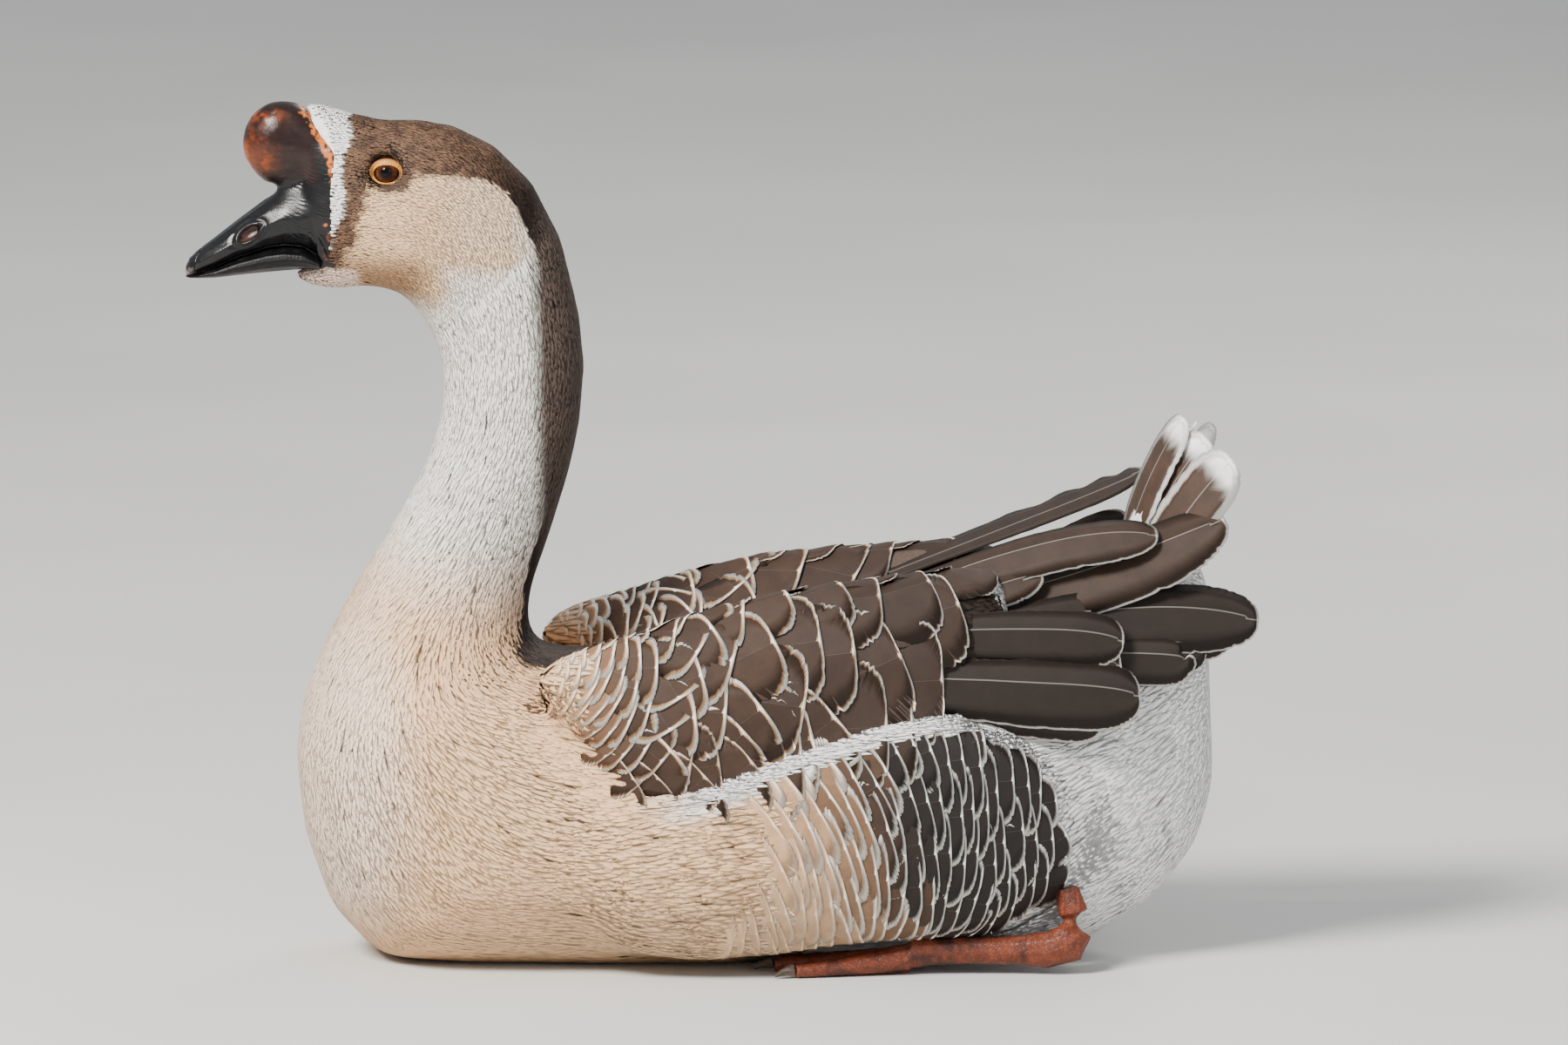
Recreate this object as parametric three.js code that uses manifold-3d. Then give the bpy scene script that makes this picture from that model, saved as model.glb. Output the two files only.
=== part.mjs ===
// Domestic goose of the knobbed Chinese breed, life size, lying on its belly with the neck upright.
// Millimetres. +Z is up, the bill points along -X and the bird's left side faces -Y.
// The origin is under the middle of the bird, on the surface it lies on.
import * as THREE from 'three';
import { mergeVertices } from 'three/addons/utils/BufferGeometryUtils.js';
import Module from 'manifold-3d';

const wasm = await Module();
wasm.setup();

// ---------------------------------------------------------------- driving dimensions
const GAP = 0.35;            // clearance between pieces that touch
const FAR = 1000;            // size of a block that stands for half of space
const LEFT = -1;             // sign of Y on the bird's left
const RIGHT = 1;

const BODY_SIDES = 18;       // points round the body
const BODY_RINGS = 29;       // rings from face to tail root
const BODY_ROUNDNESS = 0.92; // under 1 squares the body's sides a little

const BILL_TIP_X = -307;
const BILL_SIDES = 12;
const BILL_WIDEST = { upper: -0.21, lower: 0.19 };  // towards the tomium, from either half's middle
const NAIL = { z: 403, long: 13, wide: 8.4, high: 12 };
const KNOB = { x: -250, z: 471.4, long: 25.3, wide: 16.5, high: 25.4 };
const NOSTRIL = { x: -268.5, y: 13.2, z: 421.8, long: 8, deep: 3.2, high: 2.9, tilt: 0.58 };

const EYE = { x: -192.5, y: 16.8, z: 459, radius: 8.3 };
const EYELID = { y: 22.6, ring: 8.5, thick: 1.9, squash: 0.84, toe: 0.14 };

const NECK_CUTS = [          // where the neck's lengths meet: a point and the slope of the cut
  { x: -131, z: 396, slope: -0.86 },
  { x: -120, z: 326, slope: -0.13 },
  { x: -133, z: 266, slope: 0.06 },
  { x: -165, z: 203, slope: -0.06 },
];
const BREAST_END_X = -104;
const TRUNK_END_X = 172;
const NECK_BACK_X = -55;     // the neck lies in front of this

// The right wing's inner long feathers are held higher and flatter than the left one's, and its
// outer ones are tucked further in.
const RAISED = { turn: 0.13, up: 7, flatter: 1.45, pivotX: 110, pivotZ: 205 };
const TUCKED_REACH = 0.78;
const PRIMARIES_SHOW_FROM = 178;  // x behind which the primaries come out from under the coverts

const HEEL = { x: 200, y: 68, z: 19, radius: 12.6 };
const TOE_JOINT = { x: 108, y: 68, z: 12.5, radius: 10.5 };
const TARSUS_RADIUS = 8;
const SHIN_TOP = 50;         // height at which the shin disappears among the feathers
const WEB_THICKNESS = 3.2;
const CLAW_LENGTH = 11;
const FOOT_BED = 17;         // height of the hollow that a foot lies in

// Stations of the body from the face to the tail root. back and front are [x, z] of the upper and
// the lower outline, half is the half width, full shifts the widest place towards the belly.
const BODY = [
  { place: 'face', back: [-240, 495.5], front: [-229, 394], half: 18.5, full: 0.1 },
  { place: 'lores', back: [-222, 492.5], front: [-216, 388.3], half: 21.5, full: 0.12 },
  { place: 'eyes', back: [-199, 485], front: [-200, 388], half: 25, full: 0.16 },
  { place: 'cheeks', back: [-176, 485], front: [-185, 384.5], half: 28, full: 0.16 },
  { place: 'crown', back: [-148, 479.5], front: [-175, 375], half: 29, full: 0.12 },
  { place: 'nape', back: [-117, 459], front: [-167.5, 363], half: 28.5, full: 0.08 },
  { place: 'hind head', back: [-94, 421], front: [-162, 350], half: 28.5, full: 0.04 },
  { place: 'throat', back: [-80, 366], front: [-160, 333], half: 30.5, full: 0.02 },
  { place: 'upper neck', back: [-79, 325], front: [-161.5, 314], half: 32.5, full: 0 },
  { place: 'mid neck', back: [-87, 282], front: [-171, 284], half: 35.5, full: 0 },
  { place: 'lower neck', back: [-100, 240], front: [-195, 241], half: 42, full: 0.03 },
  { place: 'neck root', back: [-111, 205], front: [-221, 198], half: 55, full: 0.06 },
  { place: 'shoulders', back: [-108, 183], front: [-240, 152], half: 75, full: 0.1 },
  { place: 'breast', back: [-85, 177], front: [-245.5, 112], half: 90, full: 0.12 },
  { place: 'low breast', back: [-50, 179], front: [-234, 50], half: 97, full: 0.12 },
  { place: 'keel', back: [-10, 182], front: [-206, 4], half: 100, full: 0.1 },
  { place: 'fore belly', back: [30, 185], front: [-150, -4], half: 102, full: 0.1 },
  { place: 'belly', back: [75, 188], front: [-30, -5], half: 101, full: 0.1 },
  { place: 'hips', back: [115, 191], front: [90, -5], half: 95, full: 0.08 },
  { place: 'rump', back: [160, 201], front: [170, -3], half: 84, full: 0.06 },
  { place: 'vent', back: [205, 219], front: [222, 14], half: 68, full: 0.04 },
  { place: 'tail root', back: [250, 238], front: [266, 52], half: 49, full: 0.02 },
  { place: 'rear', back: [277, 227], front: [282, 98], half: 31, full: 0.04 },
];

// Stations of the bill from its root to its tip: culmen and tomium heights of the upper half,
// lower edge of the lower half, and the half width at the tomium.
const BILL = [
  { x: -229.6, culmen: 454, tomium: 405, under: 398.2, half: 17.6 },
  { x: -240, culmen: 452, tomium: 411.4, under: 398, half: 17 },
  { x: -250, culmen: 447.5, tomium: 412.4, under: 397.2, half: 16 },
  { x: -260, culmen: 439.5, tomium: 411, under: 396.3, half: 14.8 },
  { x: -277, culmen: 426.8, tomium: 405.4, under: 394.6, half: 13.2 },
  { x: -290, culmen: 416.6, tomium: 399.6, under: 393.2, half: 11.6 },
  { x: -299, culmen: 410, tomium: 396.4, under: 393, half: 9 },
  { x: -304.6, culmen: 404.6, tomium: 394.4, under: 393.2, half: 5.8 },
  { x: BILL_TIP_X, culmen: 399.6, tomium: 394.8, under: 393.4, half: 2.4 },
];

// Stations of a folded wing's coverts: lower edge, ridge, outermost and inner edge as [y, z].
const COVERTS = [
  { x: -107, low: [86, 166], out: [89, 171], ridge: [84, 177], inner: [77, 173] },
  { x: -89, low: [92, 147], out: [100, 163], ridge: [89, 190.5], inner: [66, 178] },
  { x: -55, low: [101, 107], out: [109, 144], ridge: [88, 201], inner: [50, 180] },
  { x: -15, low: [104, 108], out: [111.5, 150], ridge: [82, 215], inner: [38, 183] },
  { x: 25, low: [104, 124], out: [110.5, 160], ridge: [74, 224.5], inner: [30, 187] },
  { x: 65, low: [101, 140], out: [106, 170], ridge: [64, 230], inner: [24, 191] },
  { x: 105, low: [95, 149], out: [98, 178], ridge: [55, 233], inner: [18, 197] },
  { x: 140, low: [84, 156], out: [88, 184], ridge: [47, 236.5], inner: [16, 207] },
  { x: 166, low: [73, 168], out: [77, 188], ridge: [46, 228], inner: [28, 212] },
];

// Stations of a flank's feather pad: upper edge, lower edge and outermost y.
const FLANK = [
  { x: -118, top: 90, bottom: 52, out: 92 },
  { x: -92, top: 105, bottom: 30, out: 101.5 },
  { x: -55, top: 103, bottom: 12, out: 108 },
  { x: -15, top: 110, bottom: 8, out: 112 },
  { x: 35, top: 131, bottom: 12, out: 112.5 },
  { x: 85, top: 149, bottom: 19, out: 109.5 },
  { x: 130, top: 155.5, bottom: 20, out: 103 },
  { x: 160, top: 149.5, bottom: 22, out: 96 },
  { x: 185, top: 134.5, bottom: 33, out: 87 },
  { x: 202, top: 112, bottom: 46, out: 78 },
  { x: 210, top: 92, bottom: 66, out: 70 },
];

// Long feathers of a folded wing: root, middle and tip as [x, y, z], full width, and the lift of
// the feather's face above the horizontal.
const TERTIAL_INNER = {
  root: [96, 38, 212],
  middle: [185, 36, 243],
  tip: [249.5, 31, 252],
  width: 46,
  lift: 0.98,
  raised: true,
};
const TERTIAL_OUTER = {
  root: [112, 50, 203],
  middle: [210, 48, 230],
  tip: [287.5, 41, 257],
  width: 50,
  lift: 0.86,
  raised: true,
};
const SECONDARIES = [
  { root: [96, 82, 196], middle: [180, 79, 197], tip: [229.5, 73, 193.5], width: 33, lift: 0.36 },
  { root: [92, 92, 172], middle: [185, 87, 166], tip: [239, 79, 163], width: 40, lift: 0.3 },
  { root: [110, 91, 160], middle: [180, 86.5, 148], tip: [218, 79, 145], width: 24, lift: 0.06 },
];
const PRIMARIES = [
  { root: [150, 66, 196], middle: [235, 59, 205], tip: [307, 50, 202], width: 44, lift: 0.5 },
  { root: [120, 71, 186], middle: [230, 67, 182], tip: [264, 62, 181], width: 30, lift: 0.3 },
];

// The section and outline of a long feather: half thickness at its edges and along its shaft.
const FEATHER = {
  steps: 4,
  edge: 0.5,
  ridge: 1.7,
  tipFrom: 0.6,
  fullFrom: 0.45,
  rootShare: 0.72,
  leastHalf: 1.4,
};

// The tail: an arched fan of quills that stands up and leans back. Places are [x, z].
const TAIL = {
  quills: 10,
  root: [240, 222],
  ridgeTip: [267, 313.5],
  ridgeBow: -10,
  spread: 42,
  arch: 40,
  rootSpread: 24,
  notch: 0.06,
  thickness: [[0, 4], [0.5, 2.4], [1, 0.6]],  // half thickness at places from root to tip
};

// ---------------------------------------------------------------- colours
function coat(colour, roughness = 0.9) {
  return new THREE.MeshStandardMaterial({ color: colour, roughness, metalness: 0 });
}
const CAP_BROWN = coat(0x6e5140);
const NECK_CREAM = coat(0xd8c4a6);
const BREAST_BUFF = coat(0xcda67e);
const BELLY_WHITE = coat(0xece4d8);
const WING_BROWN = coat(0x6b5a4e);
const QUILL_BROWN = coat(0x4c4038);
const FLANK_BARRED = coat(0xa08a76);
const BILL_BLACK = coat(0x1d1d22, 0.35);
const NAIL_GREY = coat(0x55504c, 0.4);
const KNOB_BLACK = coat(0x2a1a16, 0.35);
const EYE_BROWN = coat(0x3a1c0c, 0.05);
const LID_ORANGE = coat(0xc98a35, 0.6);
const LEG_ORANGE = coat(0xb96a35, 0.6);
const CLAW_HORN = coat(0x3b332c, 0.45);

// ---------------------------------------------------------------- solids
function vector([x, y, z]) {
  return new THREE.Vector3(x, y, z);
}

// A closed body through rings of points, with a fan over the first ring and over the last one.
function loft(rings) {
  const sides = rings[0].length;
  const points = rings.flat();
  const faces = [];
  for (let ring = 0; ring < rings.length - 1; ring += 1) {
    for (let side = 0; side < sides; side += 1) {
      const next = (side + 1) % sides;
      const a = ring * sides + side;
      const b = ring * sides + next;
      faces.push(a, b, b + sides, a, b + sides, a + sides);
    }
  }
  for (const ring of [0, rings.length - 1]) {
    const centre = points.length;
    const middle = rings[ring].reduce((sum, p) => sum.add(p), new THREE.Vector3());
    points.push(middle.divideScalar(sides));
    for (let side = 0; side < sides; side += 1) {
      const a = ring * sides + side;
      const b = ring * sides + ((side + 1) % sides);
      faces.push(...(ring === 0 ? [centre, b, a] : [centre, a, b]));
    }
  }
  if (signedVolume(points, faces) < 0) {
    faces.reverse();
  }
  const geometry = new THREE.BufferGeometry().setFromPoints(points);
  geometry.setIndex(faces);
  return geometry;
}

function signedVolume(points, faces) {
  let volume = 0;
  const cross = new THREE.Vector3();
  for (let i = 0; i < faces.length; i += 3) {
    cross.crossVectors(points[faces[i + 1]], points[faces[i + 2]]);
    volume += points[faces[i]].dot(cross) / 6;
  }
  return volume;
}

function solid(geometry) {
  const bare = geometry.clone();
  for (const attribute of ['normal', 'uv']) {
    bare.deleteAttribute(attribute);
  }
  const merged = mergeVertices(bare, 1e-4);
  return new wasm.Manifold(new wasm.Mesh({
    numProp: 3,
    vertProperties: Float32Array.from(merged.attributes.position.array),
    triVerts: Uint32Array.from(merged.index.array),
  }));
}

function named(name, body, material) {
  const cut = body.getMesh();
  const geometry = new THREE.BufferGeometry();
  geometry.setAttribute('position', new THREE.BufferAttribute(cut.vertProperties, 3));
  geometry.setIndex(new THREE.BufferAttribute(cut.triVerts, 1));
  geometry.computeVertexNormals();
  const mesh = new THREE.Mesh(geometry, material);
  mesh.name = name;
  return mesh;
}

// All of space on the side of a plane that its normal points to.
function halfSpace(x, z, normalX, normalZ, shift = 0) {
  const length = Math.hypot(normalX, normalZ);
  const geometry = new THREE.BoxGeometry(FAR, FAR, FAR);
  geometry.translate(0, 0, FAR / 2);
  geometry.rotateY(Math.atan2(normalX, normalZ));
  geometry.translate(x + (shift * normalX) / length, 0, z + (shift * normalZ) / length);
  return solid(geometry);
}

const ABOVE_FLOOR = halfSpace(0, 0, 0, 1);

// Reads three smooth values between the stations, at a place from 0 to 1 along them.
function smooth(stations, read, place) {
  const curve = new THREE.CatmullRomCurve3(stations.map((s) => vector(read(s))));
  return curve.getPoint(place);
}

// ---------------------------------------------------------------- body
function bodyRing(place, grow) {
  const back = smooth(BODY, (s) => [s.back[0], 0, s.back[1]], place);
  const front = smooth(BODY, (s) => [s.front[0], 0, s.front[1]], place);
  const shape = smooth(BODY, (s) => [s.half, s.full, 0], place);
  const centre = back.clone().add(front).multiplyScalar(0.5);
  const up = back.clone().sub(centre);
  const depth = up.length() + grow;
  up.normalize();
  const ring = [];
  for (let side = 0; side < BODY_SIDES; side += 1) {
    const angle = (side / BODY_SIDES) * 2 * Math.PI;
    const height = Math.cos(angle);
    const width = Math.sign(Math.sin(angle)) * Math.abs(Math.sin(angle)) ** BODY_ROUNDNESS;
    const point = centre.clone().addScaledVector(up, depth * height);
    point.y = (shape.x + grow) * width * (1 - shape.y * height);
    ring.push(point);
  }
  return ring;
}

function wholeBody(grow = 0) {
  const rings = [];
  for (let ring = 0; ring <= BODY_RINGS; ring += 1) {
    rings.push(bodyRing(ring / BODY_RINGS, grow));
  }
  for (const point of rings[0]) {
    point.x -= grow;
  }
  for (const point of rings[BODY_RINGS]) {
    point.x += grow;
  }
  return solid(loft(rings));
}

// ---------------------------------------------------------------- bill and knob
// One half of the bill between two of its outlines, grown outwards all round for a clearance.
function billHalf(top, bottom, widest, grow) {
  const rings = BILL.map((station) => {
    const high = station[top] + grow;
    const low = station[bottom] - grow;
    const ring = [];
    for (let side = 0; side < BILL_SIDES; side += 1) {
      const angle = (side / BILL_SIDES) * 2 * Math.PI;
      const height = Math.cos(angle);
      const width = Math.sin(angle) * (1 + widest * height);
      const z = (high + low) / 2 + ((high - low) / 2) * height;
      ring.push(new THREE.Vector3(station.x, (station.half + grow) * width, z));
    }
    return ring;
  });
  for (const point of rings[rings.length - 1]) {
    point.x -= grow;
  }
  return solid(loft(rings));
}

function upperHalf(grow = 0) {
  return billHalf('culmen', 'tomium', BILL_WIDEST.upper, grow);
}

function nailBlock(grow) {
  const geometry = new THREE.SphereGeometry(1, 10, 6);
  geometry.scale(NAIL.long + grow, NAIL.wide + grow, NAIL.high + grow);
  geometry.translate(BILL_TIP_X - 1, 0, NAIL.z);
  return solid(geometry);
}

function knobBall() {
  const geometry = new THREE.SphereGeometry(1, 13, 8);
  geometry.rotateX(Math.PI / 2);
  geometry.scale(KNOB.long, KNOB.wide, KNOB.high);
  geometry.translate(KNOB.x, 0, KNOB.z);
  return solid(geometry);
}

function nostril(side) {
  const geometry = new THREE.SphereGeometry(1, 8, 5);
  geometry.scale(NOSTRIL.long, NOSTRIL.deep, NOSTRIL.high);
  geometry.rotateY(-NOSTRIL.tilt);
  geometry.translate(NOSTRIL.x, side * NOSTRIL.y, NOSTRIL.z);
  return solid(geometry);
}

// ---------------------------------------------------------------- eyes
function eyeball(side, grow) {
  const geometry = new THREE.SphereGeometry(EYE.radius + grow, 12, 7);
  geometry.rotateX(Math.PI / 2);
  geometry.translate(EYE.x, side * EYE.y, EYE.z);
  return solid(geometry);
}

function eyelid(side) {
  const geometry = new THREE.TorusGeometry(EYELID.ring, EYELID.thick, 5, 10);
  geometry.scale(1, EYELID.squash, 1);
  geometry.rotateX(Math.PI / 2);
  geometry.rotateZ(side * EYELID.toe);
  geometry.translate(EYE.x, side * EYELID.y, EYE.z);
  return solid(geometry);
}

// The pocket in the head that an eyeball and its lids fill.
function eyeSocket(side) {
  const geometry = new THREE.CylinderGeometry(
    EYELID.ring + EYELID.thick + GAP,
    EYELID.ring + EYELID.thick + GAP,
    2 * (EYELID.thick + GAP),
    14,
  );
  geometry.scale(1, 1, EYELID.squash);
  geometry.rotateZ(side * EYELID.toe);
  geometry.translate(EYE.x, side * EYELID.y, EYE.z);
  return solid(geometry).add(eyeball(side, GAP));
}

// ---------------------------------------------------------------- wings and flanks
function ringThrough(corners, count) {
  const curve = new THREE.CatmullRomCurve3(corners, true, 'centripetal');
  return curve.getPoints(count).slice(0, count);
}

function covertShell(side, grow) {
  const last = COVERTS.length - 1;
  const rings = COVERTS.map((station, index) => {
    const x = station.x + (index === 0 ? -grow : 0) + (index === last ? grow : 0);
    const [lowY, lowZ] = station.low;
    const [outY, outZ] = station.out;
    const [ridgeY, ridgeZ] = station.ridge;
    const [innerY, innerZ] = station.inner;
    const deep = (lowZ + innerZ) / 2;
    const corners = [
      [lowY - 7, lowZ - grow],
      [lowY + grow, lowZ + 2],
      [outY + grow, outZ],
      [(outY * 2 + ridgeY) / 3 + grow, outZ * 0.32 + ridgeZ * 0.68],
      [ridgeY, ridgeZ + grow],
      [(ridgeY + innerY) / 2 - grow, ridgeZ * 0.55 + innerZ * 0.45],
      [innerY - grow, innerZ],
      [innerY + 6, innerZ - 8],
      [(innerY + lowY) / 2, deep - 12],
    ];
    return ringThrough(corners.map(([y, z]) => new THREE.Vector3(x, side * y, z)), 14);
  });
  return solid(loft(rings));
}

function flankPad(side) {
  const rings = FLANK.map((station) => {
    const middle = (station.top + station.bottom) / 2;
    const rise = (station.top - station.bottom) / 2;
    const corners = [
      [station.out, middle],
      [station.out - 1, middle + 0.55 * rise],
      [station.out - 7, station.top],
      [station.out - 20, station.top - 3],
      [station.out - 40, middle],
      [station.out - 44, station.bottom + 8],
      [station.out - 31, station.bottom],
      [station.out - 9, middle - 0.62 * rise],
    ];
    return ringThrough(corners.map(([y, z]) => new THREE.Vector3(station.x, side * y, z)), 12);
  });
  return solid(loft(rings));
}

// Half the width of a long feather at a place from 0 at its root to 1 at its tip.
function halfWidthAt(place, width) {
  const toTip = Math.max(0, (place - FEATHER.tipFrom) / (1 - FEATHER.tipFrom));
  const opening = Math.min(1, place / FEATHER.fullFrom);
  const root = FEATHER.rootShare + (1 - FEATHER.rootShare) * opening;
  const tip = Math.sqrt(Math.max(0, 1 - toTip ** 2.4));
  return Math.max(FEATHER.leastHalf, (width / 2) * root * tip);
}

// A long feather: a thin lens in section, narrow at the root and rounded at the tip.
function blade(curve, width, normal, grow) {
  const edge = FEATHER.edge + grow;
  const ridge = FEATHER.ridge + grow;
  const rings = [];
  for (let step = 0; step <= FEATHER.steps; step += 1) {
    const place = step / FEATHER.steps;
    const tangent = curve.getTangent(place);
    const across = new THREE.Vector3().crossVectors(normal, tangent).normalize();
    const face = new THREE.Vector3().crossVectors(tangent, across).normalize();
    const half = halfWidthAt(place, width) + grow;
    const stretch = Math.sign(2 * place - 1) * (place === 0 || place === 1 ? grow : 0);
    const centre = curve.getPoint(place).addScaledVector(tangent, stretch);
    const corners = [[-half, edge], [0, ridge], [half, edge], [half, -edge], [0, -ridge], [-half, -edge]];
    rings.push(corners.map(([u, v]) => centre.clone().addScaledVector(across, u).addScaledVector(face, v)));
  }
  return solid(loft(rings));
}

// Where a point of the left wing's feather lies on the given side, for a held or a raised set.
function wingPlace([x, y, z], side, raised) {
  if (!raised || side === LEFT) {
    return new THREE.Vector3(x, side * y, z);
  }
  const dx = x - RAISED.pivotX;
  const dz = z - RAISED.pivotZ;
  return new THREE.Vector3(
    RAISED.pivotX + dx * Math.cos(RAISED.turn) - dz * Math.sin(RAISED.turn),
    side * y,
    RAISED.pivotZ + RAISED.up + dz * Math.cos(RAISED.turn) + dx * Math.sin(RAISED.turn),
  );
}

function wingFeather(feather, side, grow) {
  const raised = feather.raised === true;
  const root = wingPlace(feather.root, side, raised);
  const middle = wingPlace(feather.middle, side, raised);
  const tip = wingPlace(feather.tip, side, raised);
  if (side === RIGHT && !raised) {
    middle.lerpVectors(root, middle, TUCKED_REACH);
    tip.lerpVectors(root, tip, TUCKED_REACH);
  }
  const pull = middle.clone().multiplyScalar(2).addScaledVector(root, -0.5).addScaledVector(tip, -0.5);
  const curve = new THREE.QuadraticBezierCurve3(root, pull, tip);
  const lift = feather.lift * (side === RIGHT && raised ? RAISED.flatter : 1);
  const normal = new THREE.Vector3(0, side * Math.cos(lift), Math.sin(lift));
  return blade(curve, feather.width, normal, grow);
}

function feathers(list, side, grow = 0) {
  return list.map((feather) => wingFeather(feather, side, grow)).reduce((all, next) => all.add(next));
}

// ---------------------------------------------------------------- tail
// An arched sheet of quills side by side: each ring is one slice from root to tip, and the tips
// stand out between the notches where two quills meet.
function tailFan(grow = 0) {
  const slices = TAIL.quills * 2;
  const rings = [];
  for (let slice = 0; slice <= slices; slice += 1) {
    const across = (slice / slices) * 2 - 1;
    const notch = slice % 2 === 0 ? TAIL.notch : 0;
    const drop = TAIL.arch * (1 - Math.sqrt(1 - (0.95 * across) ** 2));
    const [rootX, rootZ] = TAIL.root;
    const [tipX, tipZ] = TAIL.ridgeTip;
    const root = new THREE.Vector3(rootX + 0.35 * drop, TAIL.rootSpread * across, rootZ - 0.2 * drop);
    const tip = new THREE.Vector3(tipX + 0.72 * drop, TAIL.spread * across, tipZ - 0.5 * drop);
    const bow = root.clone().lerp(tip, 0.55);
    bow.x += TAIL.ridgeBow;
    tip.lerp(bow, notch);
    const curve = new THREE.QuadraticBezierCurve3(root, bow, tip);
    const normal = new THREE.Vector3(-1, 1.2 * across, 0.35).normalize();
    const front = [];
    const rear = [];
    for (const [along, half] of TAIL.thickness) {
      const place = curve.getPoint(along);
      front.push(place.clone().addScaledVector(normal, half + grow));
      rear.unshift(place.clone().addScaledVector(normal, -half - grow));
    }
    rings.push([...front, ...rear]);
  }
  return solid(loft(rings));
}

// ---------------------------------------------------------------- legs
function roundedTube(points, radii, sides, flatten = 1) {
  const curve = new THREE.CatmullRomCurve3(points);
  const steps = Math.round((points.length - 1) * 1.5);
  const widths = new THREE.CatmullRomCurve3(radii.map((r, i) => new THREE.Vector3(i, r, 0)));
  const rings = [];
  for (let step = 0; step <= steps; step += 1) {
    const centre = curve.getPoint(step / steps);
    const tangent = curve.getTangent(step / steps);
    const radius = widths.getPoint(step / steps).y;
    const across = new THREE.Vector3(0, 0, 1).cross(tangent).normalize();
    const up = new THREE.Vector3().crossVectors(tangent, across);
    const ring = [];
    for (let side = 0; side < sides; side += 1) {
      const angle = (side / sides) * 2 * Math.PI;
      ring.push(centre.clone()
        .addScaledVector(across, radius * flatten * Math.cos(angle))
        .addScaledVector(up, radius * Math.sin(angle)));
    }
    rings.push(ring);
  }
  return solid(loft(rings));
}

function tarsus(side, grow) {
  const spine = [
    [HEEL.x - 3, HEEL.y - 3, SHIN_TOP],
    [HEEL.x + 2, HEEL.y - 1, HEEL.z + 9],
    [HEEL.x - 4, HEEL.y, HEEL.z - 3],
    [HEEL.x - 26, HEEL.y, HEEL.z - 5],
    [TOE_JOINT.x + 22, TOE_JOINT.y, TOE_JOINT.z + 1],
    [TOE_JOINT.x, TOE_JOINT.y, TOE_JOINT.z],
  ].map(([x, y, z]) => new THREE.Vector3(x, side * y, z));
  const radii = [7, HEEL.radius - 2, HEEL.radius, TARSUS_RADIUS + 1.2, TARSUS_RADIUS, TOE_JOINT.radius - 1];
  return roundedTube(spine, radii.map((r) => r + grow), 10, 0.86);
}

// The three front toes fan out from the joint: tip as [x, y] and the claw beyond it.
const TOES = [
  { name: 'inner', tip: [36, 42], radius: 4.6 },
  { name: 'middle', tip: [30, 62], radius: 5.2 },
  { name: 'outer', tip: [42, 82], radius: 4.8 },
];

function toe(side, shape) {
  const [tipX, tipY] = shape.tip;
  const spine = [0, 0.5, 1].map((along) => new THREE.Vector3(
    TOE_JOINT.x + 4 + (tipX - TOE_JOINT.x - 4) * along,
    side * (TOE_JOINT.y + (tipY - TOE_JOINT.y) * along),
    TOE_JOINT.z - 2 + (shape.radius - TOE_JOINT.z + 1.2) * along ** 0.6,
  ));
  return roundedTube(spine, [TOE_JOINT.radius - 2, shape.radius + 1, shape.radius - 0.6], 8, 0.95);
}

function web(side) {
  const outline = new THREE.Shape();
  const [inner, middle, outer] = TOES.map((shape) => shape.tip);
  outline.moveTo(TOE_JOINT.x, side * TOE_JOINT.y);
  outline.lineTo(inner[0] + 2, side * inner[1]);
  outline.quadraticCurveTo(inner[0] + 12, side * 53, middle[0] + 3, side * middle[1]);
  outline.quadraticCurveTo(outer[0] + 10, side * 71, outer[0] + 2, side * outer[1]);
  outline.lineTo(TOE_JOINT.x, side * TOE_JOINT.y);
  const geometry = new THREE.ExtrudeGeometry(outline, {
    depth: WEB_THICKNESS,
    bevelEnabled: false,
    curveSegments: 3,
  });
  return solid(geometry);
}

// The hollow under the body that a foot lies in.
function footBed(side) {
  const outline = new THREE.Shape();
  outline.moveTo(TOE_JOINT.x + 40, side * (TOE_JOINT.y - 34));
  outline.lineTo(16, side * 36);
  outline.lineTo(16, side * 112);
  outline.lineTo(TOE_JOINT.x + 40, side * (TOE_JOINT.y + 14));
  const geometry = new THREE.ExtrudeGeometry(outline, { depth: FOOT_BED, bevelEnabled: false });
  return solid(geometry);
}

function claw(side, shape) {
  const [tipX, tipY] = shape.tip;
  const reach = Math.hypot(tipX - TOE_JOINT.x, tipY - TOE_JOINT.y);
  const aheadX = (tipX - TOE_JOINT.x) / reach;
  const aheadY = (tipY - TOE_JOINT.y) / reach;
  const spine = [0, 0.5, 1].map((along) => new THREE.Vector3(
    tipX + aheadX * (2 * GAP + CLAW_LENGTH * along),
    side * (tipY + aheadY * (2 * GAP + CLAW_LENGTH * along)),
    shape.radius + 0.4 - 3.6 * along ** 2,
  ));
  return roundedTube(spine, [3.4, 2.6, 0.7], 7, 0.8);
}

function hindToe(side) {
  const spine = [
    [TOE_JOINT.x + 20, TOE_JOINT.y - 5, 11],
    [TOE_JOINT.x + 26, TOE_JOINT.y - 14, 9],
    [TOE_JOINT.x + 22, TOE_JOINT.y - 21, 5.6],
    [TOE_JOINT.x + 15, TOE_JOINT.y - 24, 3.4],
  ].map(([x, y, z]) => new THREE.Vector3(x, side * y, z));
  return roundedTube(spine, [3.4, 3.2, 2.7, 1.3], 7);
}

// ---------------------------------------------------------------- assembly
const goose = new THREE.Group();

function sideName(base, side) {
  return `${base}_${side === LEFT ? 'left' : 'right'}`;
}

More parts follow.
